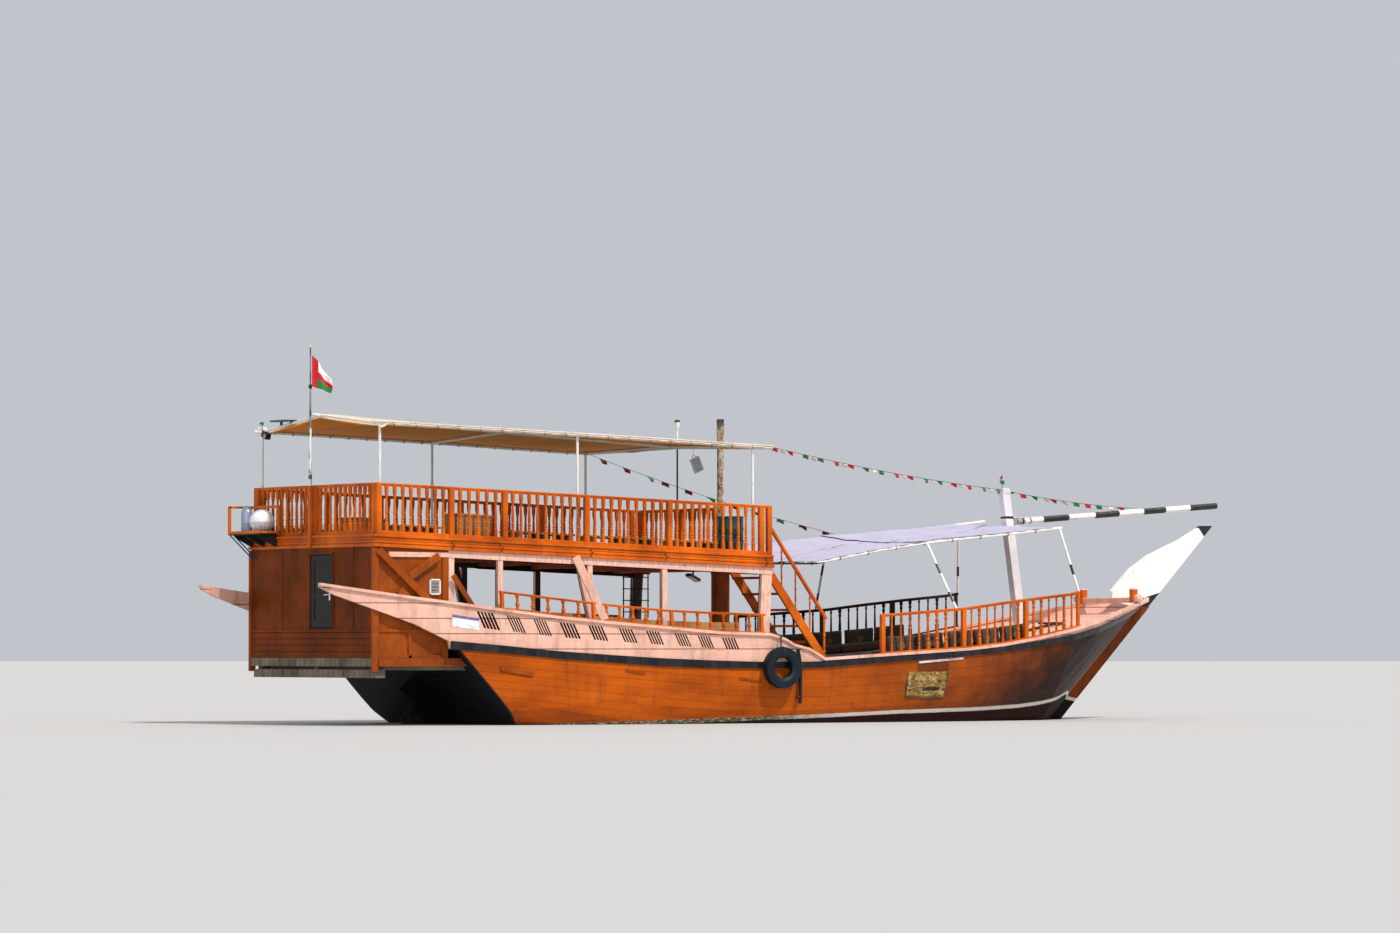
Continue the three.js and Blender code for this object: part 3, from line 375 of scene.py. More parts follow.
# Metal, rubber, plastic and plain paint: base colour, dirt and small dents
def hardFinish(name, colour, worn, rough, rust, scale=6.0, metal=0.0):
    paint = Shader(name, rough, metal, 0.5 if metal else 0.3)
    patch = paint.noise(scale, 8, 0.68)
    fine = paint.noise(scale * 9, 6, 0.6)
    wear = (patch * 0.75 + fine * 0.35).above(0.74 - rust * 0.35, 0.09)
    streak = paint.noise(scale * 0.6, 6, 0.6, (3, 3, 0.5)).above(0.55, 0.25)
    if metal:
        paint.put("Metallic", metal - wear * metal * 0.6)
    colour = paint.coated(colour, (streak * 0.25, worn), (wear * min(1, rust * 2.4), worn))
    return paint.finished(colour, rough + wear * 0.3 + fine * 0.1, fine * 0.5 + patch - wear * 0.5, 0.001)


# Poles and boom painted in bands: where each band ends, along X or Z, and its colour
bandPaint = {"white": rgb(238, 238, 236), "black": rgb(24, 26, 30), "grey": rgb(150, 150, 156)}


def banded(name, axis, bands, within=None):
    paint = Shader(name)
    along = (paint.x, paint.y, paint.z)[axis]
    ragged = along + (paint.noise(14, 4, 0.6) - 0.5) * 0.03
    colour = bandPaint[bands[0][1]]
    for (edge, _), (_, shade) in zip(bands, bands[1:]):
        colour = paint.mix(ragged.above(edge, 0.006), colour, bandPaint[shade])
    if within:                            # plain white below and above the banded stretch
        inside = along.above(within[0], 0.01) * (1 - along.above(within[1], 0.01))
        colour = paint.mix(inside, bandPaint["white"], colour)
    grime = paint.noise(5, 8, 0.7, (3, 3, 3)).above(0.6, 0.15)
    colour = paint.mix(grime * 0.4, colour, rgb(108, 92, 78))
    return paint.finished(colour, 0.38 + grime * 0.3, paint.noise(30, 6, 0.6) + grime, 0.0015, 0.5)


# Cloth: a fine weave, folds, stains, and painted light on the side that looks down: sun glowing through the
# canopy, shade under the awning and the turf
def cloth(name, top, under, stain, weave=420):
    paint = Shader(name, 0.85, gloss=0.15)
    paint.put("Sheen Weight", 0.05)
    threads = (paint.x * weave).math("SINE") * 0.5 + (paint.y * weave).math("SINE") * 0.5
    fold = paint.noise(2.4, 5, 0.6, (0.6, 3, 1))
    # the side that looks down takes the underside colour, which is painted light
    colour = paint.coated(under, (paint.facing()[2].above(0, 0.2), top),
                          (paint.noise(1.5, 7, 0.65).above(0.57, 0.2) * 0.3, stain),
                          (fold.above(0.55, 0.2) * 0.15, stain))
    return paint.finished(colour, None, threads * 0.2 + paint.noise(60, 5, 0.6) + fold * 3, 0.002, 0.5)


finishes = {
    "hull": hullTimber(),
    "pink": timber("pinkPaint", "pink", (1, 8, 8), 0.42, chips=0.5),
    "pinkPlanks": timber("pinkPlanks", "pink", (1, 8, 14), 0.4, (2, 0.24), 0.5, slots=(-6.5, -1.2)),
    "white": timber("whitePaint", "white", (6, 6, 1), 0.4, chips=0.5),
    "mast": timber("mastPaint", "white", (6, 6, 1), 0.14, chips=0.2),
    "flaking": timber("flakingPaint", "white", (2, 6, 6), 0.7, chips=1.6, bare=rgb(70, 48, 30)),
    "rail": timber("railPaint", "rail", (3, 8, 8), 0.22),
    "baluster": timber("balusterPaint", "rail", (9, 9, 1.2), 0.28),
    "fascia": timber("fasciaPaint", "rail", (1, 10, 10), 0.3, chips=0.15),
    "cabin": timber("cabinPaint", "cabin", (5, 5, 0.8), 0.12),
    "side": timber("cabinSidePaint", "side", (6, 6, 0.8), 0.3),
    "shade": timber("shadePaint", "shade", (1, 6, 6), 0.5),
    # painted shade: dark wood for the port bow rail and the boards at the heads of the bays
    "paintedShadeRail": timber("paintedShadeWood", "shade", (4, 8, 8), 0.4),
    "darkDoor": timber("darkDoorPaint", "cabin", (6, 6, 0.8), 0.4),
    "bench": timber("benchPaint", "rail", (1, 8, 8), 0.4, (2, 0.14)),
    "tan": timber("tanWood", "tan", (1, 9, 9), 0.4),
    "deck": deckPlanks("scrubbedDeck", rgb(122, 96, 74), rgb(78, 58, 46), 0.14, 0.35),
    "platform": deckPlanks("platformPlanks", rgb(120, 106, 88), rgb(58, 48, 40), 0.17, 0.6),
    "strake": hardFinish("strakePaint", rgb(14, 18, 26), rgb(82, 78, 74), 0.32, 0.12, 5),
    "tar": hardFinish("tarPaint", rgb(28, 28, 30), rgb(66, 56, 44), 0.7, 0.3),
    "door": hardFinish("doorPaint", rgb(23, 20, 21), rgb(16, 14, 14), 0.5, 0.1, 3),
    "tube": hardFinish("whiteTube", rgb(232, 232, 230), rgb(140, 112, 88), 0.35, 0.2, 9),
    "iron": hardFinish("bareIron", rgb(44, 40, 40), rgb(112, 62, 36), 0.6, 0.5, 8, 0.5),
    "engine": hardFinish("enginePaint", rgb(70, 96, 88), rgb(40, 38, 36), 0.5, 0.4),
    "bronze": hardFinish("propellerBronze", rgb(150, 112, 58), rgb(70, 92, 70), 0.3, 0.4, metal=0.9),
    "teal": hardFinish("tealPaint", rgb(28, 70, 74), rgb(70, 78, 76), 0.35, 0.25),
    "bottle": hardFinish("bottlePaint", rgb(150, 164, 186), rgb(104, 106, 112), 0.3, 0.2, 12, 0.3),
    "rubber": hardFinish("tyreRubber", rgb(2, 20, 30), rgb(14, 38, 48), 0.5, 0.15, 10),
    "rope": hardFinish("darkRope", rgb(30, 52, 58), rgb(96, 92, 84), 0.8, 0.3, 20),
    "canopy": cloth("canopyCloth", rgb(226, 208, 182), rgb(232, 134, 0), rgb(172, 104, 16)),
    "awning": cloth("awningCloth", rgb(188, 184, 208), rgb(144, 142, 164), rgb(150, 146, 168)),
    "turf": cloth("turf", rgb(44, 150, 62), rgb(30, 90, 44), rgb(90, 120, 60), 160),
    "poles": banded("polePaint", 2, [(1.98, "white"), (2.15, "black"), (2.45, "white"), (2.62, "black"),
                                     (2.8, "white")], (1.9, 2.9)),
    "lamp": banded("lampPaint", 2, [(4.52, "black"), (5.1, "white")]),
    "boom": banded("boomPaint", 0, [(5.62, "grey"), (6.0, "white"), (6.54, "black"), (7.09, "white"),
                                    (7.6, "black"), (8.12, "white"), (8.6, "black"), (9.12, "white"),
                                    (9.8, "black")]),
}
for shade, colour in {"Red": rgb(214, 28, 36), "White": rgb(236, 232, 230), "Green": rgb(34, 134, 66),
                      "Darkred": rgb(104, 22, 26)}.items():
    finishes["strip" + shade] = cloth("strip" + shade, colour, colour, rgb(120, 84, 70), 900)
print("finishes mixed:", len(finishes))

# Which finish each frame node wears; a name alone also stands for its port and starboard nodes
worn = {
    "hull": "keel_and_stem hull",
    "tar": "rudder",
    "bronze": "propeller",
    "engine": "engine_block",
    "deck": "main_deck",
    "pink": "bow_deck cap_rail wing_cap frame bow_crossbeam cap_sill",
    "pinkPlanks": "bulwark wing",
    "strake": "strake",
    "fascia": "upper_deck stern_shelf",
    "platform": "cabin_platform",
    "cabin": "cabin_aft_wall cabin_fore_wall",
    "side": "cabin_side",
    "door": "stern_door",
    "darkDoor": "cabin_door",
    "rail": "upper_rail upper_rail_stern upper_rail_fore quarter_rail bow_rail stairs",
    "tan": "bench",
    "shade": "cushion",
    "tube": "canopy_frame lamp_post",
    "canopy": "canopy",
    "awning": "awning flag",
    "poles": "awning_frame",
    "mast": "mast stem_head",
    "boom": "boom",
    "bottle": "gas_bottle",
    "rubber": "tyre_fender",
    "teal": "drum",
    "iron": "anchor funnel flag_pole",
}


def wear(piece, finish):                  # one finish all over
    piece.data.materials.clear()
    piece.data.materials.append(finishes[finish])
    return piece


for finish, names in worn.items():
    for name in names.split():
        for node in (name, name + "_port", name + "_starboard"):
            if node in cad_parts:
                wear(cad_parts[node], finish)
print("frame painted")


# Joinery by hand: each call leaves one new object at the origin, unturned and unscaled
def fresh(piece=None):                    # everything deselected, and then this piece picked
    if bpy.context.mode != "OBJECT":
        bpy.ops.object.mode_set(mode="OBJECT")
    bpy.ops.object.select_all(action="DESELECT")
    if piece:
        piece.select_set(True)
        bpy.context.view_layer.objects.active = piece


@contextmanager
def editing(select="SELECT"):
    bpy.ops.object.mode_set(mode="EDIT")
    bpy.ops.mesh.select_all(action=select)
    yield
    bpy.ops.object.mode_set(mode="OBJECT")


def modified(piece, kind, **settings):
    bpy.ops.object.modifier_add(type=kind)
    modifier = piece.modifiers[-1]
    for key, setting in settings.items():
        setattr(modifier, key, setting)
    bpy.ops.object.modifier_apply(modifier=modifier.name)


def settled(edge=0.0, rows=1):
    bpy.ops.object.transform_apply(location=True, rotation=True, scale=True)
    if edge:
        with editing():
            bpy.ops.mesh.bevel(offset=edge, segments=rows)
    return bpy.context.object


def block(low, high, edge=0.006):         # a board between two corners
    fresh()
    bpy.ops.mesh.primitive_cube_add(size=1, location=[(a + b) / 2 for a, b in zip(low, high)],
                                    scale=[b - a for a, b in zip(low, high)])
    return settled(edge)


def beam(start, end, width, depth, edge=0.006, sides=4):
    start, end = Vector(start), Vector(end)
    long = (end - start).length
    place = {"location": (start + end) / 2, "rotation": (end - start).to_track_quat("Z", "Y").to_euler()}
    fresh()
    if sides == 4:
        bpy.ops.mesh.primitive_cube_add(size=1, scale=(width, depth, long), **place)
    else:
        bpy.ops.mesh.primitive_cylinder_add(vertices=sides, radius=width / 2, depth=long, **place)
    return settled(edge)


def turned(profile, sides=8):             # height and radius from the foot up, spun about Z
    fresh()
    low, radius = profile[0]
    bpy.ops.mesh.primitive_circle_add(vertices=sides, radius=radius, fill_type="NGON", location=(0, 0, low))
    piece = settled()
    with editing():
        for height, wide in profile[1:]:
            bpy.ops.mesh.extrude_region_move(TRANSFORM_OT_translate={"value": (0, 0, height - low)})
            bpy.ops.transform.resize(value=(wide / radius, wide / radius, 1), center_override=(0, 0, height))
            low, radius = height, wide
        bpy.ops.mesh.select_all(action="SELECT")
        bpy.ops.mesh.normals_make_consistent(inside=False)
    return piece


def spindle(rows):                        # rows of height up to 1 and radius in millimetres
    return wear(turned([(height, radius / 1000) for height, radius in rows]), "baluster")


def cutBoard(outline, y0, y1, edge):      # a board cut to an outline of x and z
    fresh()
    bpy.ops.mesh.primitive_circle_add(vertices=len(outline), radius=1, fill_type="NGON")
    piece = bpy.context.object
    for vertex, (x, z) in zip(piece.data.vertices, outline):
        vertex.co = (x, y0, z)
    with editing():
        bpy.ops.mesh.extrude_region_move(TRANSFORM_OT_translate={"value": (0, y1 - y0, 0)})
        bpy.ops.mesh.select_all(action="SELECT")
        bpy.ops.mesh.normals_make_consistent(inside=False)
        bpy.ops.mesh.bevel(offset=edge, segments=1)
    return piece


def runner(points, radius, sides=6):      # a tube, rope or wire through points
    data = bpy.data.curves.new("run", "CURVE")
    data.dimensions = "3D"
    data.bevel_depth = radius
    data.bevel_resolution = sides // 2 - 2
    data.use_fill_caps = True
    line = data.splines.new("POLY")
    line.points.add(len(points) - 1)
    for spot, place in zip(line.points, points):
        spot.co = (*place, 1)
    piece = bpy.data.objects.new("run", data)
    bpy.context.scene.collection.objects.link(piece)
    fresh(piece)
    bpy.ops.object.convert(target="MESH")
    return bpy.context.object


def ring(centre, across, up, count=8, rise=0.0):         # a closed loop of points from two half axes
    centre, across, up = Vector(centre), Vector(across), Vector(up)
    turns = [j * math.tau / count for j in range(count + 1)]
    return [centre + across * math.cos(a) + up * math.sin(a) + Vector((0, 0, a * rise)) for a in turns]


def clothSheet(name, finish, point, along, across, thick):    # point takes u from 0 to 1 and v from -1 to 1
    fresh()
    bpy.ops.mesh.primitive_grid_add(x_subdivisions=along, y_subdivisions=across, size=2)
    piece = settled()
    for vertex in piece.data.vertices:
        vertex.co = point((vertex.co.x + 1) / 2, vertex.co.y)
    modified(piece, "SOLIDIFY", thickness=thick, offset=0)
    bpy.ops.object.shade_smooth()
    piece.name = name
    return wear(piece, finish)


def copied(piece, move=(0, 0, 0), scale=(1, 1, 1), turn=None):
    twin = piece.copy()
    twin.data = piece.data.copy()
    bpy.context.scene.collection.objects.link(twin)
    turn = turn.to_matrix().to_4x4() if turn else Matrix.Identity(4)
    twin.data.transform(Matrix.Translation(move) @ turn @ Matrix.Diagonal((*scale, 1)))
    return twin


def moved(piece, move):
    piece.data.transform(Matrix.Translation(move))
    return piece


def scrapped(*pieces):
    for piece in pieces:
        bpy.data.objects.remove(piece)


def laid(piece, body="boat"):       # what carries it
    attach(piece, body)
    return piece


def joined(name, parts, body="boat", smooth=None):
    fresh()
    for part in parts:
        part.select_set(True)
    bpy.context.view_layer.objects.active = parts[0]
    if len(parts) > 1:
        bpy.ops.object.join()
    piece = bpy.context.object
    if smooth:
        bpy.ops.object.shade_smooth_by_angle(angle=math.radians(smooth))
    piece.name = piece.data.name = name
    return laid(piece, body)


class Kit(list):                          # the parts of one piece, each given its finish as it is made
    def add(self, finish, *pieces):
        self.extend(wear(piece, finish) for piece in pieces)

    def block(self, finish, *given):
        self.add(finish, block(*given))

    def beam(self, finish, *given):
        self.add(finish, beam(*given))

    def board(self, finish, *given):
        self.add(finish, cutBoard(*given))

    def line(self, finish, *given):
        self.add(finish, runner(*given))


def between(table, at, column=1):         # a straight-line value from rows that start with x
    for a, b in zip(table, table[1:]):
        if at <= b[0] or b is table[-1]:
            return a[column] + (b[column] - a[column]) * (at - a[0]) / (b[0] - a[0])


# Rails: moulded hand rail, sole, square posts and turned balusters, standing where the frame's rails stand
spindles = {name: spindle(rows) for name, rows in {
    "tall": [(0, 32), (0.16, 32), (0.2, 18), (0.225, 29), (0.25, 17), (0.285, 30), (0.32, 19), (0.4, 25),
             (0.6, 20), (0.68, 15), (0.7, 25), (0.72, 16), (0.78, 27), (0.86, 34), (1, 33)],
    "squat": [(0, 30), (0.1, 30), (0.15, 18), (0.24, 33), (0.38, 34), (0.52, 17), (0.58, 29), (0.64, 17),
              (0.78, 25), (0.88, 31), (1, 31)],
    "slim": [(0, 20), (0.08, 20), (0.12, 14), (0.16, 22), (0.2, 14), (0.42, 19), (0.7, 15), (0.86, 13),
             (0.9, 21), (0.94, 14), (1, 20)],
    "bow": [(0, 34), (0.16, 34), (0.2, 18), (0.25, 34), (0.31, 19), (0.46, 26), (0.74, 18), (0.79, 29),
            (0.84, 18), (0.9, 30), (1, 30)],
}.items()}


def rail(path, work):                     # path: x, y, foot and top of the rail
    sole, hand, wide, lean = (work[key] for key in ("sole", "hand", "rail", "lean"))
    # column of the path, height from it, width, depth and rounding of each moulding
    mouldings = [(2, sole / 2, wide, sole, 0.004), (3, -hand * 0.3, wide, hand * 0.6, hand * 0.14),
                 (3, -hand * 0.75, wide * 0.7, hand * 0.5, 0.003)]

    def upright(x):
        y = between(path, x)
        return Vector((x, y, between(path, x, 2) + sole)), Vector((x, y, between(path, x, 3) - hand / 2))

    kit = Kit()
    for rows in zip(path, path[1:]):
        for column, off, across, deep, edge in mouldings:
            kit.beam("rail", *[(row[0], row[1], row[column] + off) for row in rows], across, deep, edge)
    posts = work["posts"]
    for x in posts:
        low, high = upright(x)
        low.z -= sole - 0.004
        thick = work["post"] * (work.get("end", 1) if x == posts[-1] else 1)
        kit.beam("rail", low, high - Vector((lean, 0, 0)), thick, thick)
        if work.get("fluted"):            # a raised board down the face of each post
            for side in (-1, 1):
                out = Vector((0, side * work["post"] / 2, 0))
                kit.beam("rail", low + out, high + out, work["post"] * 0.45, 0.008, 0.003)
    bays = [a + (b - a) * (k + 1) / (count + 1)
            for a, b, count in zip(posts, posts[1:], work["counts"]) for k in range(count)]
    for number, x in enumerate(bays):
        low, high = upright(x)
        tall = (high - low).length
        slant = Matrix.Identity(4)
        slant[0][2] = -lean / tall
        bar = copied(spindles[work["pattern"][number % len(work["pattern"])]], low, (1, 1, tall))
        bar.data.transform(Matrix.Translation(low) @ slant @ Matrix.Translation(-low))
        kit.append(bar)
    return kit


def mirrored(parts):
    for part in parts:
        part.data.transform(Matrix.Diagonal((1, -1, 1, 1)))
        fresh(part)
        with editing():
            bpy.ops.mesh.flip_normals()
    return parts


upperDeck = {"aft": -8.18, "fore": -0.8, "top": 3.0, "fall": 0.28, "half": 2.07}


def deckHeight(x):
    aft, fore = upperDeck["aft"], upperDeck["fore"]
    return upperDeck["top"] - upperDeck["fall"] * (x - aft) / (fore - aft)


upperRail = {
    "rail": 0.062, "sole": 0.06, "hand": 0.05, "post": 0.085, "lean": 0.0, "high": 0.805,
    "fluted": True, "pattern": ["tall"],
    "side": {"line": 2.02, "ends": (-8.13, -0.805), "posts": [-8.085, -6.78, -5.81, -4.3, -2.75, -1.0, -0.85],
             "counts": [8, 5, 9, 9, 11, 0]},
    "stern": {"line": -8.1, "ends": (-1.975, 1.975), "posts": (-1.935, 0, 1.935), "counts": (11, 11)},
    "fore": {"line": -0.85, "ends": (-0.52, 1.975), "posts": (-0.478, 0.7, 1.93), "counts": (7, 7)},
}


def sideRail():
    work = {**upperRail, **upperRail["side"]}
    return rail([(x, -work["line"], deckHeight(x), deckHeight(x) + work["high"]) for x in work["ends"]], work)


def crossRail(where):                     # a rail laid out along X and set across the boat
    work = {**upperRail, **upperRail[where]}
    x = work["line"]
    foot, top = deckHeight(x - work["rail"] / 2), deckHeight(x) + work["high"]
    parts = rail([(y, -x, foot, top) for y in work["ends"]], work)
    for part in parts:
        part.data.transform(Matrix.Rotation(math.pi / 2, 4, "Z"))
    return parts


for where, parts in {"starboard": sideRail(), "port": mirrored(sideRail()), "stern": crossRail("stern"),
                     "fore": crossRail("fore")}.items():
    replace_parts(joined("upper_rail_%s_turned" % where, parts), "upper_rail_" + where)

# Cap rail: x, its top, and the hull's half breadth there
capLine = [(-9.12, 2.23, 2.02), (-8.86, 2.195, 2.05), (-8.29, 2.12, 2.11), (-7.51, 2.02, 2.175),
           (-6.9, 1.95, 2.22), (-6, 1.84, 2.255), (-5, 1.725, 2.29), (-4, 1.64, 2.32), (-3, 1.565, 2.34),
           (-2, 1.485, 2.35), (-1.04, 1.46, 2.345), (-0.75, 1.38, 2.342), (-0.58, 1.29, 2.34),
           (-0.28, 1.22, 2.337), (-0.06, 1.11, 2.334), (0.02, 1.06, 2.333), (1, 1.115, 2.31), (2, 1.17, 2.26),
           (3, 1.225, 2.19), (3.7, 1.29, 2.12), (4.5, 1.405, 2.035), (5.28, 1.545, 1.93), (6, 1.695, 1.7)]
capRails = {
    "quarter": {"rail": 0.05, "sole": 0.018, "hand": 0.036, "post": 0.055, "lean": 0.012,
                "path": [(-6, 2.12), (-5, 2.015), (-4, 1.915), (-3, 1.835), (-2, 1.795), (-1.1, 1.77)],
                "posts": [-5.95, -4.3, -2.86, -1.15], "counts": [5, 5, 6], "pattern": ["squat"]},
    "bow": {"rail": 0.064, "sole": 0.022, "hand": 0.048, "post": 0.075, "lean": 0.0, "end": 0.7,
            "path": [(1.18, 1.768), (2, 1.825), (3, 1.895), (3.7, 1.98), (4.5, 2.065), (5.28, 2.14),
                     (5.49, 2.177)],
            "posts": [1.22, 2.9, 4.25, 5.45], "counts": [8, 7, 6],
            "pattern": ["slim", "slim", "slim", "slim", "bow", "bow", "bow", "slim", "slim", "bow"]},
    "inset": 0.062,
}


def capRail(work):
    return rail([(x, capRails["inset"] - between(capLine, x, 2), between(capLine, x), top)
                 for x, top in work["path"]], work)


for where in ("quarter", "bow"):
    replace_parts(joined(where + "_rail_starboard_turned", capRail(capRails[where])),
                where + "_rail_starboard")
    port = mirrored(capRail(capRails[where]))
    if where == "bow":                    # painted shade: the rail on this side is painted dark
        port = [wear(part, "paintedShadeRail") for part in port]
    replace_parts(joined(where + "_rail_port_turned", port), where + "_rail_port")
scrapped(*spindles.values())
print("rails turned and set")

# Canopy: one sheet laced to its tubes, sagging between them, with a scalloped hem and laths along both edges
canopyWork = {
    # x to starboard, x to port, edge height each side, rise at the ridge
    "rows": [(-8.17, -8.17, 4.735, 4.708, 0.205), (-8.025, -8.025, 4.73, 4.703, 0.201),
             (-4.43, -4.88, 4.605, 4.583, 0.11), (-1.12, -1.94, 4.478, 4.455, 0.06),
             (-0.74, -1.89, 4.464, 4.456, 0.055)],
    "stations": [0.0, 0.02, 0.5, 0.95, 1.0],             # where tubes hold it up, along its length
    "half": 1.952,
    "hem": 0.1,
    "tube": 0.022,
    "mesh": (96, 48),
    "sag": 0.05,
    "scallops": 26,
    "lacings": 19,
    "thick": 0.004,
}


def canopyPoint(u, v):                    # u runs forward 0 to 1, v from starboard -1 to port 1
    rows = canopyWork["rows"]
    x = rows[0][0] + u * (rows[-1][0] - rows[0][0])
    port, low, high, ridge = [between(rows, x, column) for column in (1, 2, 3, 4)]
    t = (v + 1) / 2
    height = low * (1 - t) + high * t + ridge * (1 - abs(v))
    return Vector((x * (1 - t) + port * t, v * canopyWork["half"], height))


def canopyCloth(u, v):
    half, hem, stations = (canopyWork[key] for key in ("half", "hem", "stations"))
    reach = v * (1 + hem / half)
    place = canopyPoint(u, max(-1.0, min(1.0, reach)))
    bay = next(((u - a) / (b - a) for a, b in zip(stations, stations[1:]) if a <= u <= b), 0.5)
    hollow = math.sin(math.pi * min(1, abs(v) * 1.05)) * math.sin(math.pi * bay)
    ripple = 0.012 * math.sin(u * 71 + v * 3) * math.sin(v * 9 + 1.3) + 0.008 * math.sin(u * 173 + v * 11)
    place.z += canopyWork["tube"] + 0.008 - canopyWork["sag"] * hollow + ripple * hollow
    tuck = max(0.0, (-7.93 - place.x) / 0.24)            # the aft edge is slung under its tube
    place.x += tuck * 0.125
    place.z -= 0.08 * tuck ** 0.7
    over = (abs(reach) - 1) * half
    if over > 0:                          # the hem turned down over the edge tube, pulled up at each lacing
        wavy = 0.5 + 0.5 * math.sin(u * 47 + v)
        scallop = 0.5 + 0.5 * math.cos(u * math.tau * canopyWork["scallops"]) * wavy
        place.y += math.copysign(over * 0.9, v)
        place.z -= over * (0.12 + 0.25 * (1 - scallop)) + 0.006
    return place


sheet = laid(clothSheet("canopy_cloth", "canopy", canopyCloth, *canopyWork["mesh"], canopyWork["thick"]))
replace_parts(sheet, "canopy")


def canopyTrim():
    laths, lacing = Kit(), Kit()
    for side in (-1, 1):
        line = [canopyPoint(k / 60, side) + Vector((0, side * 0.03, 0.036)) for k in range(61)]
        for start, end in zip(line[::6], line[6::6]):    # laths nailed over the edge tube
            laths.beam("white", start, end, 0.045, 0.014, 0.004)
        for k in range(1, canopyWork["lacings"]):        # lacing through the hem round the tube
            centre = canopyPoint(k / canopyWork["lacings"], side) + Vector((0, side * 0.006, 0))
            lacing.line("rope", ring(centre, (0, side * 0.036, 0), (0, 0, 0.03)), 0.005, 4)
    joined("canopy_laths", laths)
    joined("canopy_lacing", lacing)


canopyTrim()
print("canopy laced")

# Awning over the foredeck: two cloths that overlap, sagging between the cross tubes
awningWork = {
    # x, height of the starboard edge, height of the port edge
    "edge": [(-0.82, 2.6, 2.68), (0.39, 2.61, 2.85), (1.72, 2.84, 3.02), (2.74, 2.98, 3.11),
             (4.31, 3.13, 3.245), (5.2, 3.225, 3.33)],
    "sag": [(-0.32, 0.04), (0.39, 0.06), (1.72, 0.0), (2.74, 0.075), (4.31, 0.075), (5.05, 0.0),
            (5.13, 0.005)],
    "half": 1.52,
    "thick": 0.004,
    "mesh": (40, 30),
    # from, to, how far its aft end lies over the other cloth
    "aft": (-0.32, 2.62, 0.0),
    "fore": (2.45, 5.13, 0.02),
    "ties": (-0.25, 0.56, 10),
}


def awningPoint(x, v, lift):
    low, high = [between(awningWork["edge"], x, column) for column in (1, 2)]
    sag = between(awningWork["sag"], x)
    t = (v + 1) / 2
    pull = math.sin(x * 21 + 1) * 0.012 * abs(v) ** 6
    wrinkle = 0.006 * math.sin(x * 13 + v * 9) + 0.004 * math.sin(x * 31 - v * 17)
    return Vector((x, v * (awningWork["half"] + pull),
                   low * (1 - t) + high * t - sag * (1 - v * v) + 0.028 + lift + wrinkle * (1 - v ** 4)))


def awningCloth(where):
    start, end, lift = awningWork[where]
    piece = clothSheet("awning_%s_cloth" % where, "awning", lambda u, v: awningPoint(
        start + (end - start) * u, v, lift * (1 - u) ** 2), *awningWork["mesh"], awningWork["thick"])
    return laid(piece)


aftCloth, foreCloth = awningCloth("aft"), awningCloth("fore")
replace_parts(aftCloth, "awning")
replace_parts(foreCloth, "awning")
ties = Kit()
start, step, count = awningWork["ties"]
for k in range(count):
    for side in (-1, 1):
        centre = awningPoint(start + k * step, side * 0.985, -0.028)
        ties.line("rope", ring(centre, (0, 0.034, 0), (0, 0, 0.032)), 0.006, 4)
joined("awning_ties", ties)
print("awning spread")

# Upper deck edge: stepped mouldings all round
fasciaWork = {
    # top below the deck, bottom below the deck, how far proud
    "steps": [(-0.002, 0.04, 0.028), (0.055, 0.085, 0.008), (0.1, 0.135, 0.016), (0.15, 0.198, 0.026)],
    "gap": 0.07,                          # half the gap at the flag pole
}


def fascia():
    kit = Kit()
    half, aft, fore, gap = upperDeck["half"], upperDeck["aft"], upperDeck["fore"], fasciaWork["gap"]
    high, low = deckHeight(aft), deckHeight(fore)
    for top, bottom, proud in fasciaWork["steps"]:
        for side in (-1, 1):
            y = side * (half + proud / 2)
            ends = [(x, y, deckHeight(x) - (top + bottom) / 2) for x in (aft, fore)]
            kit.beam("fascia", *ends, proud, bottom - top, 0.004)
        for y0, y1 in ((-half - proud, -gap), (gap, half + proud)):
            kit.block("fascia", (aft - proud, y0, high - bottom), (aft, y1, high - top), 0.004)
        if top > 0:                       # all but the topmost cross the fore edge too
            kit.block("fascia", (fore, -half - proud, low - bottom),
                      (fore + proud * 0.6, half + proud, low - top), 0.003)
    return kit


joined("upper_deck_mouldings", fascia())

# Cabin: planked wainscot, frame round the stern door, battens, corner posts and the cooler's grille
cabinWork = {
    "aft": -8.18,
    "fore": -6.85,
    "half": 2.03,
    "foot": 1.062,
    "plank": 0.101,
    "sill": 1.514,
    "grille": ((-7.19, 2.05), (-6.99, 2.3)),
    # middle lines of the raised braces on the starboard side
    "braces": [(-8.12, 2.75, -7.06, 1.82), (-7.03, 2.66, -7.56, 2.33), (-7.74, 2.13, -7.6, 2.0)],
}


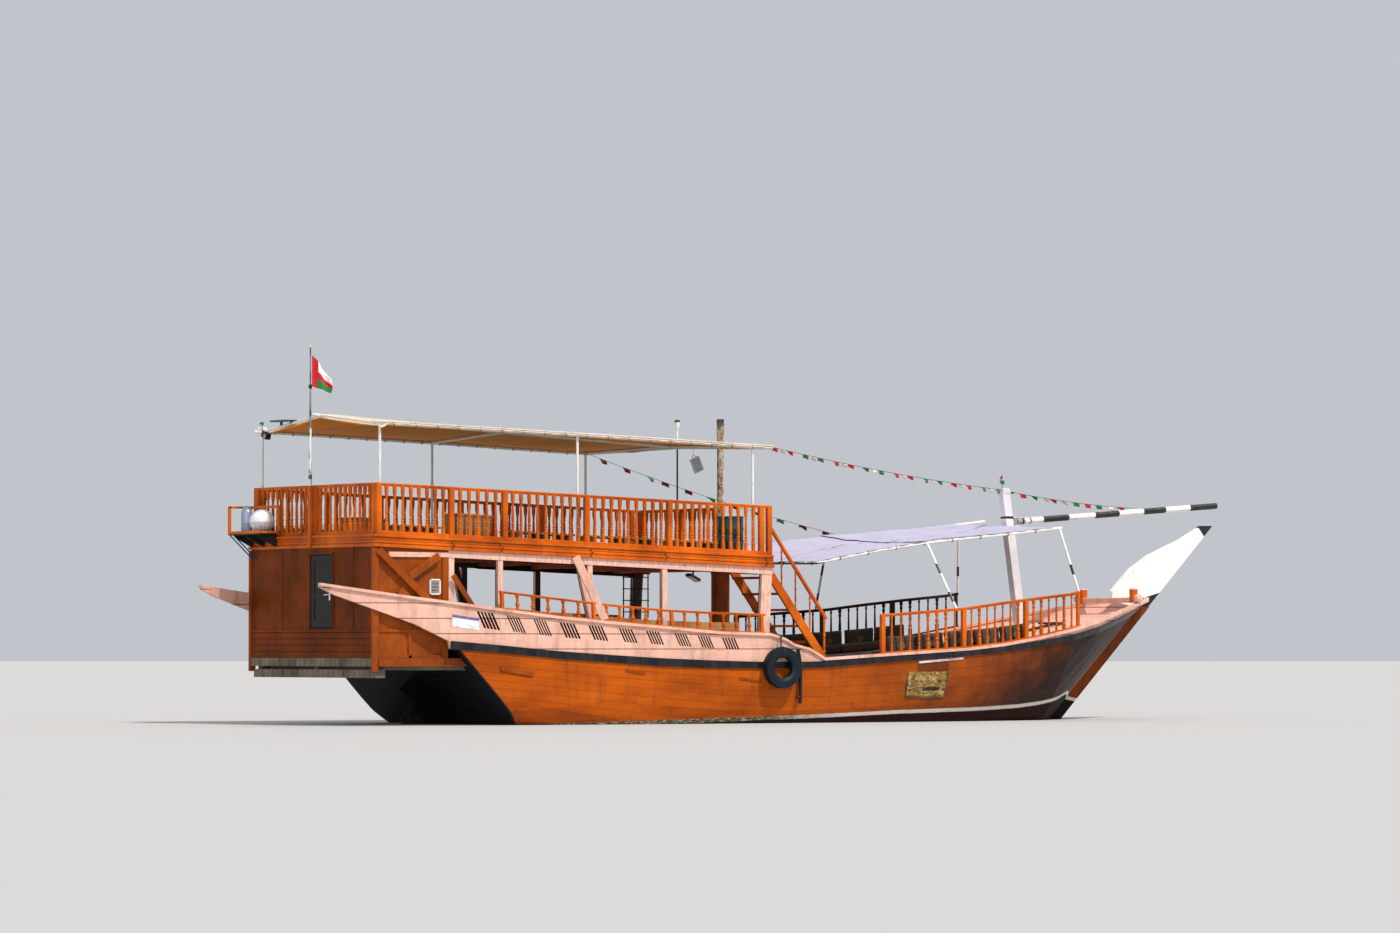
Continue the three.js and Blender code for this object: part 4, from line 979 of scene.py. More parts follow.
def cabinTrim():
    aft, fore, half, foot = (cabinWork[key] for key in ("aft", "fore", "half", "foot"))
    plank, sill = cabinWork["plank"], cabinWork["sill"]
    kit = Kit()
    for k in range(4):                    # planks under the moulding
        z = foot + k * plank
        kit.block("cabin", (aft - 0.012, -half + 0.045, z), (aft, half - 0.045, z + plank - 0.004), 0.005)
    for y in (-0.735, 0.055):             # door frame, clear of the hinges
        kit.block("cabin", (aft - 0.016, y - 0.022, sill), (aft, y + 0.012, 2.73), 0.004)
    kit.block("cabin", (aft - 0.016, -0.757, 2.702), (aft, 0.067, 2.73), 0.004)
    for y in (-1.37, 0.98):               # cover strips over the sheets' joints
        kit.block("cabin", (aft - 0.008, y - 0.025, sill), (aft, y + 0.025, 2.79), 0.003)
    for side in (-1, 1):
        # across, along, foot and head: corner post, batten, skirting
        for across, along, (low, high), edge in (
                ((half - 0.02, half + 0.045), (aft - 0.032, aft + 0.071), (0.845, 2.79), 0.006),
                ((half, half + 0.024), (-7.56, -7.5), (foot, 1.47), 0.004),
                ((half, half + 0.024), (aft + 0.1, fore - 0.1), (foot, foot + 0.045), 0.004)):
            y0, y1 = sorted(side * y for y in across)
            kit.block("side", (along[0], y0, low), (along[1], y1, high), edge)
        y0, y1 = sorted((side * 2.06, side * 2.082))     # painted edge board of the platform
        kit.board("side", [(aft + 0.075, 0.935), (-6.5, 0.935), (-6.56, 1.0), (-6.62, 1.058),
                           (aft + 0.075, 1.058)], y0, y1, 0.003)
        y0, y1 = sorted((side * 2.06, side * 2.094))
        kit.block("side", (aft + 0.075, y0, 0.93), (-6.6, y1, 0.952), 0.003)
    for x0, z0, x1, z1 in cabinWork["braces"]:
        kit.beam("side", (x0, -half - 0.042, z0), (x1, -half - 0.042, z1), 0.08, 0.12)
    kit.block("pink", (aft + 0.26, -half - 0.03, 2.64), (fore + 0.004, -half, 2.722), 0.005)
    return kit


def coolerGrille():
    (x0, z0), (x1, z1) = cabinWork["grille"]
    y, wide = -cabinWork["half"], 0.025
    kit = Kit()
    kit.block("iron", (x0 + 0.02, y - 0.012, z0 + 0.02), (x1 - 0.02, y, z1 - 0.02), 0.002)
    for a, low, b, high in ((x0, z0, x1, z0 + wide), (x0, z1 - wide, x1, z1), (x0, z0, x0 + wide, z1),
                            (x1 - wide, z0, x1, z1)):
        kit.block("tube", (a, y - 0.04, low), (b, y, high), 0.004)
    for k in range(9):
        z = z0 + 0.034 + k * 0.0225
        kit.beam("tube", (x0 + 0.02, y - 0.024, z), (x1 - 0.02, y - 0.024, z), 0.02, 0.006, 0.002)
    return kit


joined("cabin_trim", cabinTrim())
joined("cooler_grille", coolerGrille())
print("cabin trimmed")

# Stairs: two raked stringers, five treads and a turned hand rail on the outer side
stairWork = {
    "y": (-1.7, -0.65),
    "top": (-0.64, 2.44),
    "head": -0.7997,
    "foot": 0.973875,                     # height of the deck under the stringers
    "slope": 1.34,
    "half": 0.12,
    "rise": 0.262,
    "tread": 0.23,
    "treads": 5,
    "rail": ((-0.69, 3.28), (0.47, 1.69)),
    "newels": [(-0.68, 0.055), (-0.4, 0.04), (-0.13, 0.04), (0.15, 0.04), (0.43, 0.055)],
    "newel": [(0, 26), (0.1, 26), (0.14, 15), (0.18, 25), (0.22, 15), (0.3, 22), (0.5, 16), (0.55, 25),
              (0.6, 15), (0.75, 20), (0.82, 14), (0.86, 24), (0.9, 16), (1, 24)],
}


def stairHeight(x):
    return stairWork["top"][1] - stairWork["slope"] * (x - stairWork["top"][0])


def stairX(z):
    return stairWork["top"][0] + (stairWork["top"][1] - z) / stairWork["slope"]


def stairs():
    half, head, foot, (outer, inner) = (stairWork[key] for key in ("half", "head", "foot", "y"))
    high = stairHeight(head + 0.09) + half
    outline = [(head, stairHeight(head) - half), (stairX(foot + half), foot), (stairX(foot - half), foot),
               (head + 0.09, high), (head, high)]
    kit = Kit()
    for y in (outer, inner):
        kit.board("rail", outline, y - 0.025, y + 0.025, 0.006)
    y0, y1 = outer + 0.025, inner - 0.025
    for k in range(stairWork["treads"]):
        z = stairWork["top"][1] - 0.06 - k * stairWork["rise"]
        x, deep = stairX(z), stairWork["tread"] / 2
        kit.block("shade", (x - deep, y0, z - 0.035), (x + deep, y1, z), 0.005)
        kit.block("bench", (x - deep - 0.004, y0, z - 0.037), (x - deep + 0.01, y1, z + 0.002), 0.003)
    (x0, z0), (x1, z1) = stairWork["rail"]
    kit.beam("rail", (x0, outer, z0), (x1, outer, z1), 0.05, 0.06, 0.014)
    newel = spindle(stairWork["newel"])
    for x, wide in stairWork["newels"]:
        low, high = stairHeight(x) + 0.02, 3.266 - 1.371 * (x + 0.68)
        kit.append(copied(newel, (x, outer, low), (wide / 0.052, wide / 0.052, high - low)))
    scrapped(newel)
    return kit


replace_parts(joined("stairs_turned", stairs()), "stairs")

# Tyre fender: tread, side walls and rim lip, hung by a chain and a wrapped rope
tyreWork = {
    "place": (-0.87, -2.4545, 0.9),
    "mean": 0.25,
    "section": 0.083,
    # out from the mean circle and across, in halves of the section
    "profile": [(0.62, -0.78), (0.9, -0.86), (1.0, -0.62), (1.0, 0.62), (0.9, 0.86), (0.62, 0.78),
                (0.0, 0.98), (-0.62, 0.86), (-0.96, 0.5), (-0.9, 0.3), (-0.9, -0.3), (-0.96, -0.5),
                (-0.62, -0.86), (0.0, -0.98)],
}


def tyre(mean, section):
    fresh()
    bpy.ops.mesh.primitive_circle_add(vertices=len(tyreWork["profile"]), radius=1)
    piece = bpy.context.object
    for vertex, (out, side) in zip(piece.data.vertices, tyreWork["profile"]):
        vertex.co = (mean + out * section, side * section, 0)
    with editing():
        bpy.ops.mesh.spin(steps=60, angle=math.tau, center=(0, 0, 0), axis=(0, 1, 0))
        bpy.ops.mesh.select_all(action="SELECT")
        bpy.ops.mesh.remove_doubles(threshold=0.0005)
        bpy.ops.mesh.normals_make_consistent(inside=False)
    tread = [face.index for face in piece.data.polygons
             if math.hypot(face.center.x, face.center.z) > mean + 0.93 * section]
    with editing("DESELECT"):
        bpy.ops.mesh.select_mode(type="FACE")
    for number in tread:
        piece.data.polygons[number].select = True
    bpy.ops.object.mode_set(mode="EDIT")
    bpy.ops.mesh.inset(thickness=0.004, depth=-0.005, use_individual=True)
    bpy.ops.object.mode_set(mode="OBJECT")
    return piece


def fender():
    (x, y, z), mean, section = (tyreWork[key] for key in ("place", "mean", "section"))
    kit = Kit([wear(moved(tyre(mean, section), (x, y, z)), "rubber")])
    top = z + mean + section
    for k in range(7):                    # chain from the cap rail to the tyre
        link = (0.016, 0, 0) if k % 2 else (0, 0.016, 0)
        kit.line("iron", ring((x, y + 0.04, top + k * 0.026), link, (0, 0, 0.022)), 0.005, 4)
    for turn in (-0.05, 0.05):            # rope wrapped round the tyre
        out = Vector((math.sin(turn), 0, math.cos(turn)))
        wrap = ring(Vector((x, y, z)) + out * mean, out * (section * 1.04), (0, section * 1.02, 0), 12)
        kit.line("rope", wrap, 0.009)
    kit.line("rope", [(x, y + 0.04, top + 0.16), (x, y + 0.03, 1.4), (x + 0.01, y + 0.045, 1.425),
                      (x + 0.015, y + 0.14, 1.432)], 0.011)
    return kit


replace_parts(joined("tyre_with_chain", fender(), smooth=40), "tyre_fender")
print("stairs and fender made")

# Funnel: painted column below the upper deck, corroded pipe above it with a collar and a clamped flashing
funnelWork = {"place": (-0.95, -0.7, 0), "column": 0.16, "pipe": 0.055, "low": 0.935, "under": 2.52,
              "deck": 2.72, "top": 4.97}


def funnelFinish():
    paint = Shader("corrodedPipe")
    flakes = paint.noise(16, 9, 0.75, (1, 1, 0.6))
    tall = paint.noise(5, 6, 0.65, (4, 4, 0.8))
    colour = paint.coated(rgb(112, 84, 62), (flakes.above(0.5, 0.16), rgb(214, 200, 182)),
                          (tall.above(0.58, 0.12) * 0.7, rgb(84, 60, 46)),
                          (((paint.z - 4.72) / 0.2).clamped() * 0.9, rgb(34, 30, 28)))
    return paint.finished(colour, 0.65 + flakes * 0.2, flakes + tall, strength=0.8)


def funnel():
    low, under, deck, top = (funnelWork[key] for key in ("low", "under", "deck", "top"))
    wide, pipe = funnelWork["column"], funnelWork["pipe"]
    column = turned([(low, wide), (low + 0.12, wide), (low + 0.125, wide - 0.008),
                     (under - 0.1, wide - 0.008), (under - 0.095, wide), (under, wide)], 28)
    riser = turned([(under - 0.02, pipe), (deck + 0.05, pipe), (deck + 0.051, pipe + 0.008),
                    (deck + 0.09, pipe + 0.008), (deck + 0.091, pipe), (3.62, pipe), (3.621, pipe + 0.004),
                    (3.66, pipe + 0.004), (3.661, pipe), (4.66, pipe), (4.661, pipe + 0.006),
                    (top, pipe + 0.005), (top, pipe - 0.004), (top - 0.12, pipe - 0.006)], 20)
    return [moved(part, funnelWork["place"]) for part in (wear(column, "side"), wear(riser, "pipe"))]


finishes["pipe"] = funnelFinish()
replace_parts(joined("funnel_and_pipe", funnel(), smooth=30), "funnel")

# Drum on the upper deck with rolling hoops, a lid and a bung
drumWork = {"place": (-1.26, -1.5, 0), "bung": (0.09, 0.05, 0), "radius": 0.212, "low": 2.747, "top": 3.357}


def drum():
    low, top, r = drumWork["low"], drumWork["top"], drumWork["radius"]
    hoops = [(low, r + 0.006), (low + 0.02, r + 0.007), (low + 0.03, r)]
    for k in (1, 2):
        z = low + k * (top - low) / 3
        hoops += [(z - 0.024, r), (z - 0.01, r + 0.008), (z + 0.01, r + 0.008), (z + 0.024, r)]
    hoops += [(top - 0.03, r), (top - 0.018, r + 0.007), (top, r + 0.006), (top, r - 0.006),
              (top - 0.014, r - 0.01)]
    bung = turned([(top - 0.014, 0.035), (top + 0.002, 0.035), (top + 0.004, 0.028)], 14)
    parts = turned(hoops, 40), moved(bung, drumWork["bung"])
    return [wear(moved(part, drumWork["place"]), "teal") for part in parts]


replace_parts(joined("drum_with_hoops", drum(), smooth=30), "drum")

# Lamp post by the fore rail, with its shaded lamp
lampWork = {"place": (-1.0, 0.56, 0), "low": 2.729, "top": 5.0}


def lampPost():
    low = lampWork["low"]
    post = turned([(low, 0.04), (low + 0.012, 0.04), (low + 0.014, 0.016), (4.83, 0.015)], 14)
    lamp = turned([(4.82, 0.02), (4.84, 0.026), (4.9, 0.04), (4.962, 0.046)], 18)
    cap = turned([(4.962, 0.05), (4.985, 0.05), (4.992, 0.042), (lampWork["top"], 0.02)], 18)
    return [wear(moved(part, lampWork["place"]), finish) for part, finish in (
        (post, "lamp"), (lamp, "lamp"), (cap, "teal"))]


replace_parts(joined("lamp_post_and_lamp", lampPost(), smooth=30), "lamp_post")

# Gas bottle on the shelf, with its collar: height above the shelf and radius
bottleWork = {
    "place": (-8.39, 1.8, 3.0605),
    "body": [(0, 0.06), (0, 0.085), (0.02, 0.091), (0.16, 0.091), (0.165, 0.0925), (0.18, 0.0925),
             (0.185, 0.091), (0.33, 0.09), (0.37, 0.078), (0.395, 0.055), (0.405, 0.03), (0.43, 0.02),
             (0.435, 0.03), (0.444, 0.024)],
    "collar": [(0.385, 0.06), (0.43, 0.062), (0.43, 0.057), (0.39, 0.055)],
}
bottle = [wear(moved(turned(bottleWork[key], 24), bottleWork["place"]), "bottle")
          for key in ("body", "collar")]
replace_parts(joined("gas_bottle_spun", bottle, smooth=40), "gas_bottle")

# Float case beside it: a round case in two halves with a flange between them
floatWork = {"place": (-8.36, 1.33, 3.2463), "radius": 0.199, "flange": 0.2035, "foot": 3.0615, "seams": 14}


def floatFinish():                        # white dome over a lower half painted grey as shade, with moulded seams
    paint = Shader("floatPlastic")
    x, y, z = floatWork["place"]
    turn = (paint.y - y).math("ARCTAN2", paint.x - x) * (floatWork["seams"] / math.tau)
    seam = 1 - turn.wave().above(0.09, 0.03)
    shadedHalf = 1 - (paint.z - z).above(-0.01, 0.004)
    dust = paint.noise(12, 6, 0.6).above(0.58, 0.14)
    ribbed = paint.mix(seam * 0.5, rgb(214, 214, 216), rgb(150, 152, 158))
    colour = paint.coated(rgb(240, 242, 244), (shadedHalf, ribbed), (dust * 0.25, rgb(150, 138, 120)))
    return paint.finished(colour, 0.28 + shadedHalf * 0.2 + dust * 0.2, (1 - seam) * shadedHalf * 0.8)


def floatCase():
    place, radius, out = floatWork["place"], floatWork["radius"], floatWork["flange"]
    fresh()
    bpy.ops.mesh.primitive_uv_sphere_add(segments=48, ring_count=28, radius=radius, location=place)
    ball = settled()
    with editing():
        bpy.ops.mesh.bisect(plane_co=(0, 0, floatWork["foot"]), plane_no=(0, 0, -1), clear_outer=True,
                            use_fill=True)
    flange = moved(turned([(-0.008, radius), (-0.008, out), (0.008, out), (0.008, radius)], 40), place)
    return [wear(ball, "float"), wear(flange, "float")]


finishes["float"] = floatFinish()
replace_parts(joined("float_case_halves", floatCase(), smooth=30), "float_case")
print("funnel, drum, lamp and shelf goods made")

# Flag in three colours with a red band at the hoist, flying forward of its pole and hanging in soft folds
flagWork = {
    "hoist": -8.1795,
    "reach": 0.355,
    # lower and upper corner at the hoist and at the fly
    "low": (5.38, 5.27),
    "high": (5.87, 5.47),
    "folds": 0.03,
}


def flagPoint(u, v):
    low, high = (a + (b - a) * u ** power
                 for (a, b), power in ((flagWork["low"], 1), (flagWork["high"], 1.15)))
    t = (v + 1) / 2
    fold = flagWork["folds"] * math.sin(u * 9 + t * 2.4) * min(1, 4 * u)
    return Vector((flagWork["hoist"] + 0.004 + flagWork["reach"] * u + 0.01 * math.sin(t * 5) * u, fold,
                   low + (high - low) * t))


def flagFinish():
    paint = Shader("flagCloth", 0.8)
    u = (paint.x - flagWork["hoist"]) / flagWork["reach"]
    low, high = [u * (fly - hoist) + hoist for hoist, fly in (flagWork["low"], flagWork["high"])]
    t = (paint.z - low) / (high - low)
    red = rgb(196, 24, 34)
    colour = paint.coated(rgb(20, 128, 58), (t.above(0.36, 0.01), red),
                          (t.above(0.64, 0.01), rgb(240, 238, 236)), (u < 0.3, red))
    return paint.finished(colour, None, paint.noise(900, 2), 0.0005, 0.4)


finishes["flag"] = flagFinish()
flag = laid(clothSheet("flag_cloth", "flag", flagPoint, 26, 26, 0.0012))
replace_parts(flag, "flag")

# Flag pole: stout painted lower length, thin dark upper length, silver truck, clamps to the deck edge
poleWork = {
    "x": -8.203,
    "profile": [(2.811, 0.02), (2.82, 0.0215), (4.7, 0.0215), (4.72, 0.016), (5.28, 0.015), (5.29, 0.011),
                (5.99, 0.01), (6.0, 0.018), (6.012, 0.02), (6.03, 0.012)],
    "clamps": (2.83, 3.7),
    "lashings": (3.9, 5.34),
}


def poleFinish():
    paint = Shader("flagPolePaint", metal=0.2)
    worn = paint.noise(4, 6, 0.6, (6, 6, 1.2))
    upper = paint.mix(worn.above(0.5, 0.08), rgb(34, 44, 52), rgb(120, 132, 138))
    colour = paint.coated(rgb(226, 232, 234), (worn.above(0.55, 0.05), rgb(38, 128, 134)),
                          (paint.z.above(4.72, 0.02), upper),
                          (paint.z.above(5.99, 0.004), rgb(206, 206, 204)))
    return paint.finished(colour, 0.3 + worn * 0.3)


def flagPole():
    x, face = poleWork["x"], -8.1803
    kit = Kit([wear(moved(turned(poleWork["profile"], 12), (x, 0, 0)), "pole")])
    kit.block("rail", (-8.231, -0.042, 2.811), (face, 0.042, 3.79), 0.008)     # boxed in below the hand rail
    for z in poleWork["clamps"]:
        kit.block("fascia", (-8.236, -0.047, z), (face, 0.047, z + 0.04), 0.004)
    for z in poleWork["lashings"]:
        for k in range(4):
            kit.line("rope", ring((x, 0, z + k * 0.016), (0.026, 0, 0), (0, 0.026, 0), 10, 0.002), 0.006, 4)
    return kit


finishes["pole"] = poleFinish()
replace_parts(joined("flag_pole_fitted", flagPole(), smooth=35), "flag_pole")
print("flag hoisted")

# Stem head: white blade with a black tip and a black foot piece, checks in the grain
stemWork = {
    "tip": ((9.29, 3.3), (9.41, 3.15)),   # line across the blade where the black starts
    "shoe": ((7.84, 1.85, 0.88), (8.1, 2.08, 0.276)),    # x, z and slope of the two lines over the foot piece
}


def stemFinish():
    paint = Shader("stemHeadPaint")
    x, z = paint.x, paint.z
    grain = paint.noise(3, 7, 0.6, (2, 12, 2), (0, 0.72, 0))
    stain = paint.noise(2.2, 5, 0.6)
    (x0, z0), (x1, z1) = stemWork["tip"]
    pastTip = (x - x0) * (z0 - z1) + (z - z0) * (x1 - x0)
    rear, front = [1 - (z - height - (x - start) * slope).above(0, 0.004)
                   for start, height, slope in stemWork["shoe"]]
    colour = paint.coated(rgb(246, 246, 245), (grain.above(0.62, 0.05) * 0.28, rgb(176, 166, 150)),
                          (stain.above(0.6, 0.14) * 0.3, rgb(204, 198, 186)),
                          (pastTip.above(0.0, 0.0006), rgb(20, 26, 38)), (rear * front, rgb(14, 18, 26)))
    return paint.finished(colour, 0.38 + stain * 0.25, grain, 0.003, 0.5)


finishes["stem"] = stemFinish()
wear(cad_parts["stem_head"], "stem")

# Foredeck cushions: pads on the deck and back pads that lean on the rails, stuffed by cloth simulation
padWork = {
    # size of a pad, how many a side, how far in and how high over the line below
    "seats": ((0.735, 0.41, 0.115), 4, 0.345, 0.0725),
    "backs": ((0.565, 0.1, 0.36), 5, 0.078, 0.2),
    "voxel": 0.024,
    "pressure": 4,
    "frames": 20,
    "swell": 0.014,                       # how far the stuffing may push the cloth out
    # x, outer face of the back pads, deck under them
    "line": [(1.4, 2.148, 1.035), (2, 2.118, 1.071), (3, 2.047, 1.136), (3.7, 1.973, 1.191),
             (4.4, 1.89, 1.265)],
    "lean": 0.1,
    "uneven": (0.05, 0.006),              # in the lean and along the rail
}


def paddedCloth():                        # dark woven stuff with a diamond trellis and a rosette on each pad
    paint = Shader("paddedCloth", 0.9)
    u, v, _ = paint.axes(paint.coords("UV"))
    du, dv = u - 0.5, (v - 0.5) * 0.66
    reach = (du * du + dv * dv) ** 0.5
    petals = (dv.math("ARCTAN2", du) * 8).math("COSINE")
    rosette = (petals * 0.022 + 0.085 - reach).above(0.0, 0.006) - (0.03 - reach).above(0.0, 0.006)
    trellis = ((u * 9 + v * 6).wave() < 0.07) + ((u * 9 - v * 6).wave() < 0.07)
    border = (du.size() > 0.44) + (dv.size() > 0.27)
    rub = paint.noise(9, 6, 0.6)
    plain = paint.mix(paint.noise(3.1, 3).above(0.5, 0.08), rgb(58, 54, 42), rgb(76, 60, 44))
    colour = paint.coated(plain, (trellis.clamped() * 0.5, rgb(34, 32, 30)),
                          (rosette.clamped() * 0.75, rgb(132, 112, 66)),
                          (border.clamped() * 0.4, rgb(92, 52, 40)),
                          (rub.above(0.62, 0.1) * 0.35, rgb(112, 104, 88)))
    weave = (u * 150).math("SINE") * (v * 110).math("SINE")
    return paint.finished(colour, None, weave * 0.3 + rub * 2, 0.002, 0.5)


def capped(start, end, most):             # a point that moved, held to the most it may move
    step = end - start
    return start + step * min(1, most / max(step.length, 1e-6))


def stuffed(size):
    fresh()
    bpy.ops.mesh.primitive_cube_add(size=1, scale=size)
    pad = settled(min(size) * 0.2, 2)
    modified(pad, "REMESH", mode="VOXEL", voxel_size=padWork["voxel"])
    before = [vertex.co.copy() for vertex in pad.data.vertices]
    bpy.ops.object.modifier_add(type="CLOTH")
    stuff = pad.modifiers[-1].settings
    stuff.use_pressure = True
    stuff.uniform_pressure_force = padWork["pressure"]
    stuff.effector_weights.gravity = 0
    for frameNumber in range(1, padWork["frames"] + 1):
        bpy.context.scene.frame_set(frameNumber)
    bpy.ops.object.modifier_apply(modifier=pad.modifiers[-1].name)
    bpy.context.scene.frame_set(1)
    for vertex, start in zip(pad.data.vertices, before):
        vertex.co = capped(start, vertex.co, padWork["swell"])
    modified(pad, "SUBSURF", levels=1, render_levels=1)
    deep = 1 if size[1] > size[2] else 2
    cover = pad.data.uv_layers.new(name="cover")
    for loop in pad.data.loops:
        co = pad.data.vertices[loop.vertex_index].co
        cover.data[loop.index].uv = (co.x / size[0] + 0.5, co[deep] / size[deep] + 0.5)
    bpy.ops.object.shade_smooth()
    return wear(pad, "padded")


def layPad(pattern, name, x, out, up, lean, side):
    ends = [Vector((a, between(padWork["line"], a), between(padWork["line"], a, 2)))
            for a in (x - 0.3, x + 0.3)]
    along = (ends[1] - ends[0]).to_track_quat("X", "Z").to_matrix().to_4x4()
    pad = copied(pattern)
    pad.data.transform(Matrix.Translation((ends[0] + ends[1]) / 2 + Vector((0, -out, up))) @ along
                       @ Matrix.Rotation(lean, 4, "X"))
    if side == "starboard":
        mirrored([pad])
    pad.name = pad.data.name = "%s_%s" % (name, side)
    laid(pad)
    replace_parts(pad, "cushion_" + side)


finishes["padded"] = paddedCloth()
random.seed(4)
patterns = {kind: stuffed(padWork[kind][0]) for kind in ("seats", "backs")}
start, end = padWork["line"][0][0], padWork["line"][-1][0]
for side in ("port", "starboard"):
    for kind, pattern in patterns.items():
        _, count, out, up = padWork[kind]
        for k in range(count):
            x, lean = start + (end - start) * (k + 0.5) / count, 0
            if kind == "backs":
                tilt, shift = padWork["uneven"]
                lean = padWork["lean"] + random.uniform(-tilt, tilt)
                x += random.uniform(-shift, shift)
            layPad(pattern, "%s_pad_%d" % (kind[:-1], k), x, out, up, lean, side)
scrapped(*patterns.values())
print("pads stuffed and laid")

# Stern shelf: dark boards on three knees, with an open cage of thin orange slats round the goods
shelfWork = {"x": (-8.59, -8.1803), "y": (1.05, 2.06), "top": 3.06, "cage": 3.5, "slat": 0.044}


def sternShelf():
    (x0, x1), (y0, y1) = shelfWork["x"], shelfWork["y"]
    top, cage, slat = shelfWork["top"], shelfWork["cage"], shelfWork["slat"]
    kit = Kit()
    board = (x1 - x0) / 4
    for k in range(4):                    # floor boards
        x = x0 + k * board
        kit.block("tar", (x + 0.004, y0, top - 0.03), (x + board - 0.004, y1, top), 0.004)
    for y in (y0 + 0.1, (y0 + y1) / 2, y1 - 0.11):       # knees under the floor
        kit.board("tar", [(x1, 2.83), (x1, top - 0.03), (x0 + 0.06, top - 0.03), (x0 + 0.06, top - 0.06),
                          (x1 - 0.06, 2.85)], y - 0.015, y + 0.015, 0.003)
    inner, outer, aft, fore = y0 + 0.016, y1 - 0.016, x0 + 0.016, x1 - 0.02
    kerb, head = top + 0.012, cage - 0.016
    for x, y in ((aft, outer), (fore, outer), (fore, inner)):
        kit.beam("rail", (x, y, top - 0.03), (x, y, cage), slat, slat, 0.004)
    for y, z in ((outer, head), (inner, kerb), (outer, kerb)):
        kit.beam("rail", (x0, y, z), (x1, y, z), slat, slat * 0.8, 0.004)
    for x, z in ((aft, kerb), (fore, head)):
        kit.beam("rail", (x, y0, z), (x, y1, z), slat * 0.8, slat, 0.004)
    for y, z in ((y1 - 0.03, 2.98), (y1 - 0.12, 3.0)):   # lashings from the shelf's edge to the cabin
        kit.line("teal", [(x0 + 0.02, y, z + 0.05), (x1 + 0.02, y - 0.06, z - 0.36)], 0.011)
    return kit


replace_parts(joined("stern_shelf_cage", sternShelf()), "stern_shelf")

# Beam across the bow: a squared log with round ends, and a bitt near each of them
bowWork = {"x": (7.345, 7.425), "half": 0.88, "post": 0.74, "foot": 1.9893, "top": 2.08, "knob": 0.072,
           "bitt": 0.062, "head": 2.235}


def bowBeam():
    (x0, x1), half, foot, top = (bowWork[key] for key in ("x", "half", "foot", "top"))
    knob, bitt, head, mid = bowWork["knob"], bowWork["bitt"], bowWork["head"], (x0 + x1) / 2
    log = turned([(0, knob * 0.5), (0.012, knob * 0.86), (0.035, knob), (0.1, knob), (0.13, knob * 0.72)], 16)
    kit, posts = Kit(), Kit()
    kit.block("pink", (x0, -half + 0.06, foot), (x1, half - 0.06, top), 0.012)
    for side in (-1, 1):
        turn = Matrix.Rotation(side * math.pi / 2, 3, "X").to_quaternion()
        kit.add("pink", copied(log, (mid, side * (half + 0.068), foot + knob + 0.002), turn=turn))
        y, thin = side * bowWork["post"], bitt - 0.006
        kit.block("pink", (mid - bitt, y - bitt, head - 0.03), (mid + bitt, y + bitt, head), 0.014)
        posts.block("fascia", (mid - thin, y - thin, foot + 0.002),
                    (mid + thin, y + thin, head - 0.02), 0.012)
    scrapped(log)
    return kit + posts


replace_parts(joined("bow_beam_and_bitts", bowBeam(), smooth=30), "bow_crossbeam")
print("shelf and bow beam made")


def skin(node, x, z):                     # where a line from starboard meets a piece, and which way it faces
    met, place, normal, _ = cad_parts[node].ray_cast((x, -4, z), (0, 1, 0))
    return (place, normal) if met else (Vector((x, -2.3, z)), Vector((0, -1, 0)))


def patch(node, x0, z0, x1, z1, thick, slope=0.0, rows=3, sink=0.002):   # a thin board bent to a piece's side
    fresh()
    bpy.ops.mesh.primitive_grid_add(x_subdivisions=6, y_subdivisions=rows, size=1)
    piece = settled()
    for vertex in piece.data.vertices:
        along, up = (x1 - x0) * (vertex.co.x + 0.5), (z1 - z0) * (vertex.co.y + 0.5)
        place, normal = skin(node, x0 + along, z0 + up + slope * along)
        vertex.co = place - normal * sink
    modified(piece, "SOLIDIFY", thickness=thick + sink, offset=1)
    fresh(piece)
    with editing():
        bpy.ops.mesh.normals_make_consistent(inside=False)
    return piece


# Small fittings on the outside of the hull: aft low corner, fore top corner, thickness, slope
hullBits = {
    # battens that close old holes
    "battens": [(-6.02, 0.86, -5.44, 0.93, 0.022, -0.16), (-3.76, 0.845, -3.4, 0.885, 0.012, -0.15),
                (-1.62, 0.71, -1.2, 0.745, 0.012, -0.14)],
    "strip": (1.92, 0.965, 2.85, 1.0, 0.014, 0.07),
    "plate": (-6.87, 1.555, -6.4, 1.745, 0.005, -0.13),
    # shift aft and thickness of each board on the patched spot
    "boards": [(0.012, 0.012), (-0.008, 0.015), (0.006, 0.012)],
    # x and height down the outlet pipe, and of its saddles
    "pipe": [(-0.53, 1.2), (-0.5, 1.1), (-0.49, 0.9), (-0.46, 0.32)],
    "saddles": [(-0.47, 0.42), (-0.48, 0.74)],
}


def patchedWood():
    paint = Shader("patchedWood")
    x, z = paint.x, paint.z
    x0, z0, x1, _ = hullLook["patch"]
    grain = paint.noise(9, 8, 0.7, (1, 6, 6))
    rings = (paint.noise(2.0, 2, 0.5, (1.3, 1, 2.6)) * 9).wave()
    across, up = (x - x1 + 0.3) / 0.17, (z - z0 - 0.15) / 0.035
    # a hole in the boards, painted near-black as the shade inside it
    holeShade = 1 - (across * across + up * up).above(1.0, 0.6)
    edge = ((x - (x0 + x1) / 2).size() - (x1 - x0) / 2 + 0.03).math("MAXIMUM", z0 + 0.035 - z)
    colour = paint.mix(grain.above(0.5, 0.2), rgb(120, 96, 42), rgb(172, 132, 62))
    colour = paint.coated(colour, (paint.noise(5, 5, 0.6).above(0.54, 0.08) * 0.7, rgb(206, 168, 104)),
                          ((1 - rings.above(0.12, 0.1)) * 0.85, rgb(44, 40, 18)),
                          (holeShade * 0.95, rgb(16, 14, 10)), (edge.above(0.0, 0.03) * 0.75, rgb(40, 34, 24)))
    return paint.finished(colour, 0.6 + grain * 0.3, grain + rings * 1.5, 0.008, 0.9)


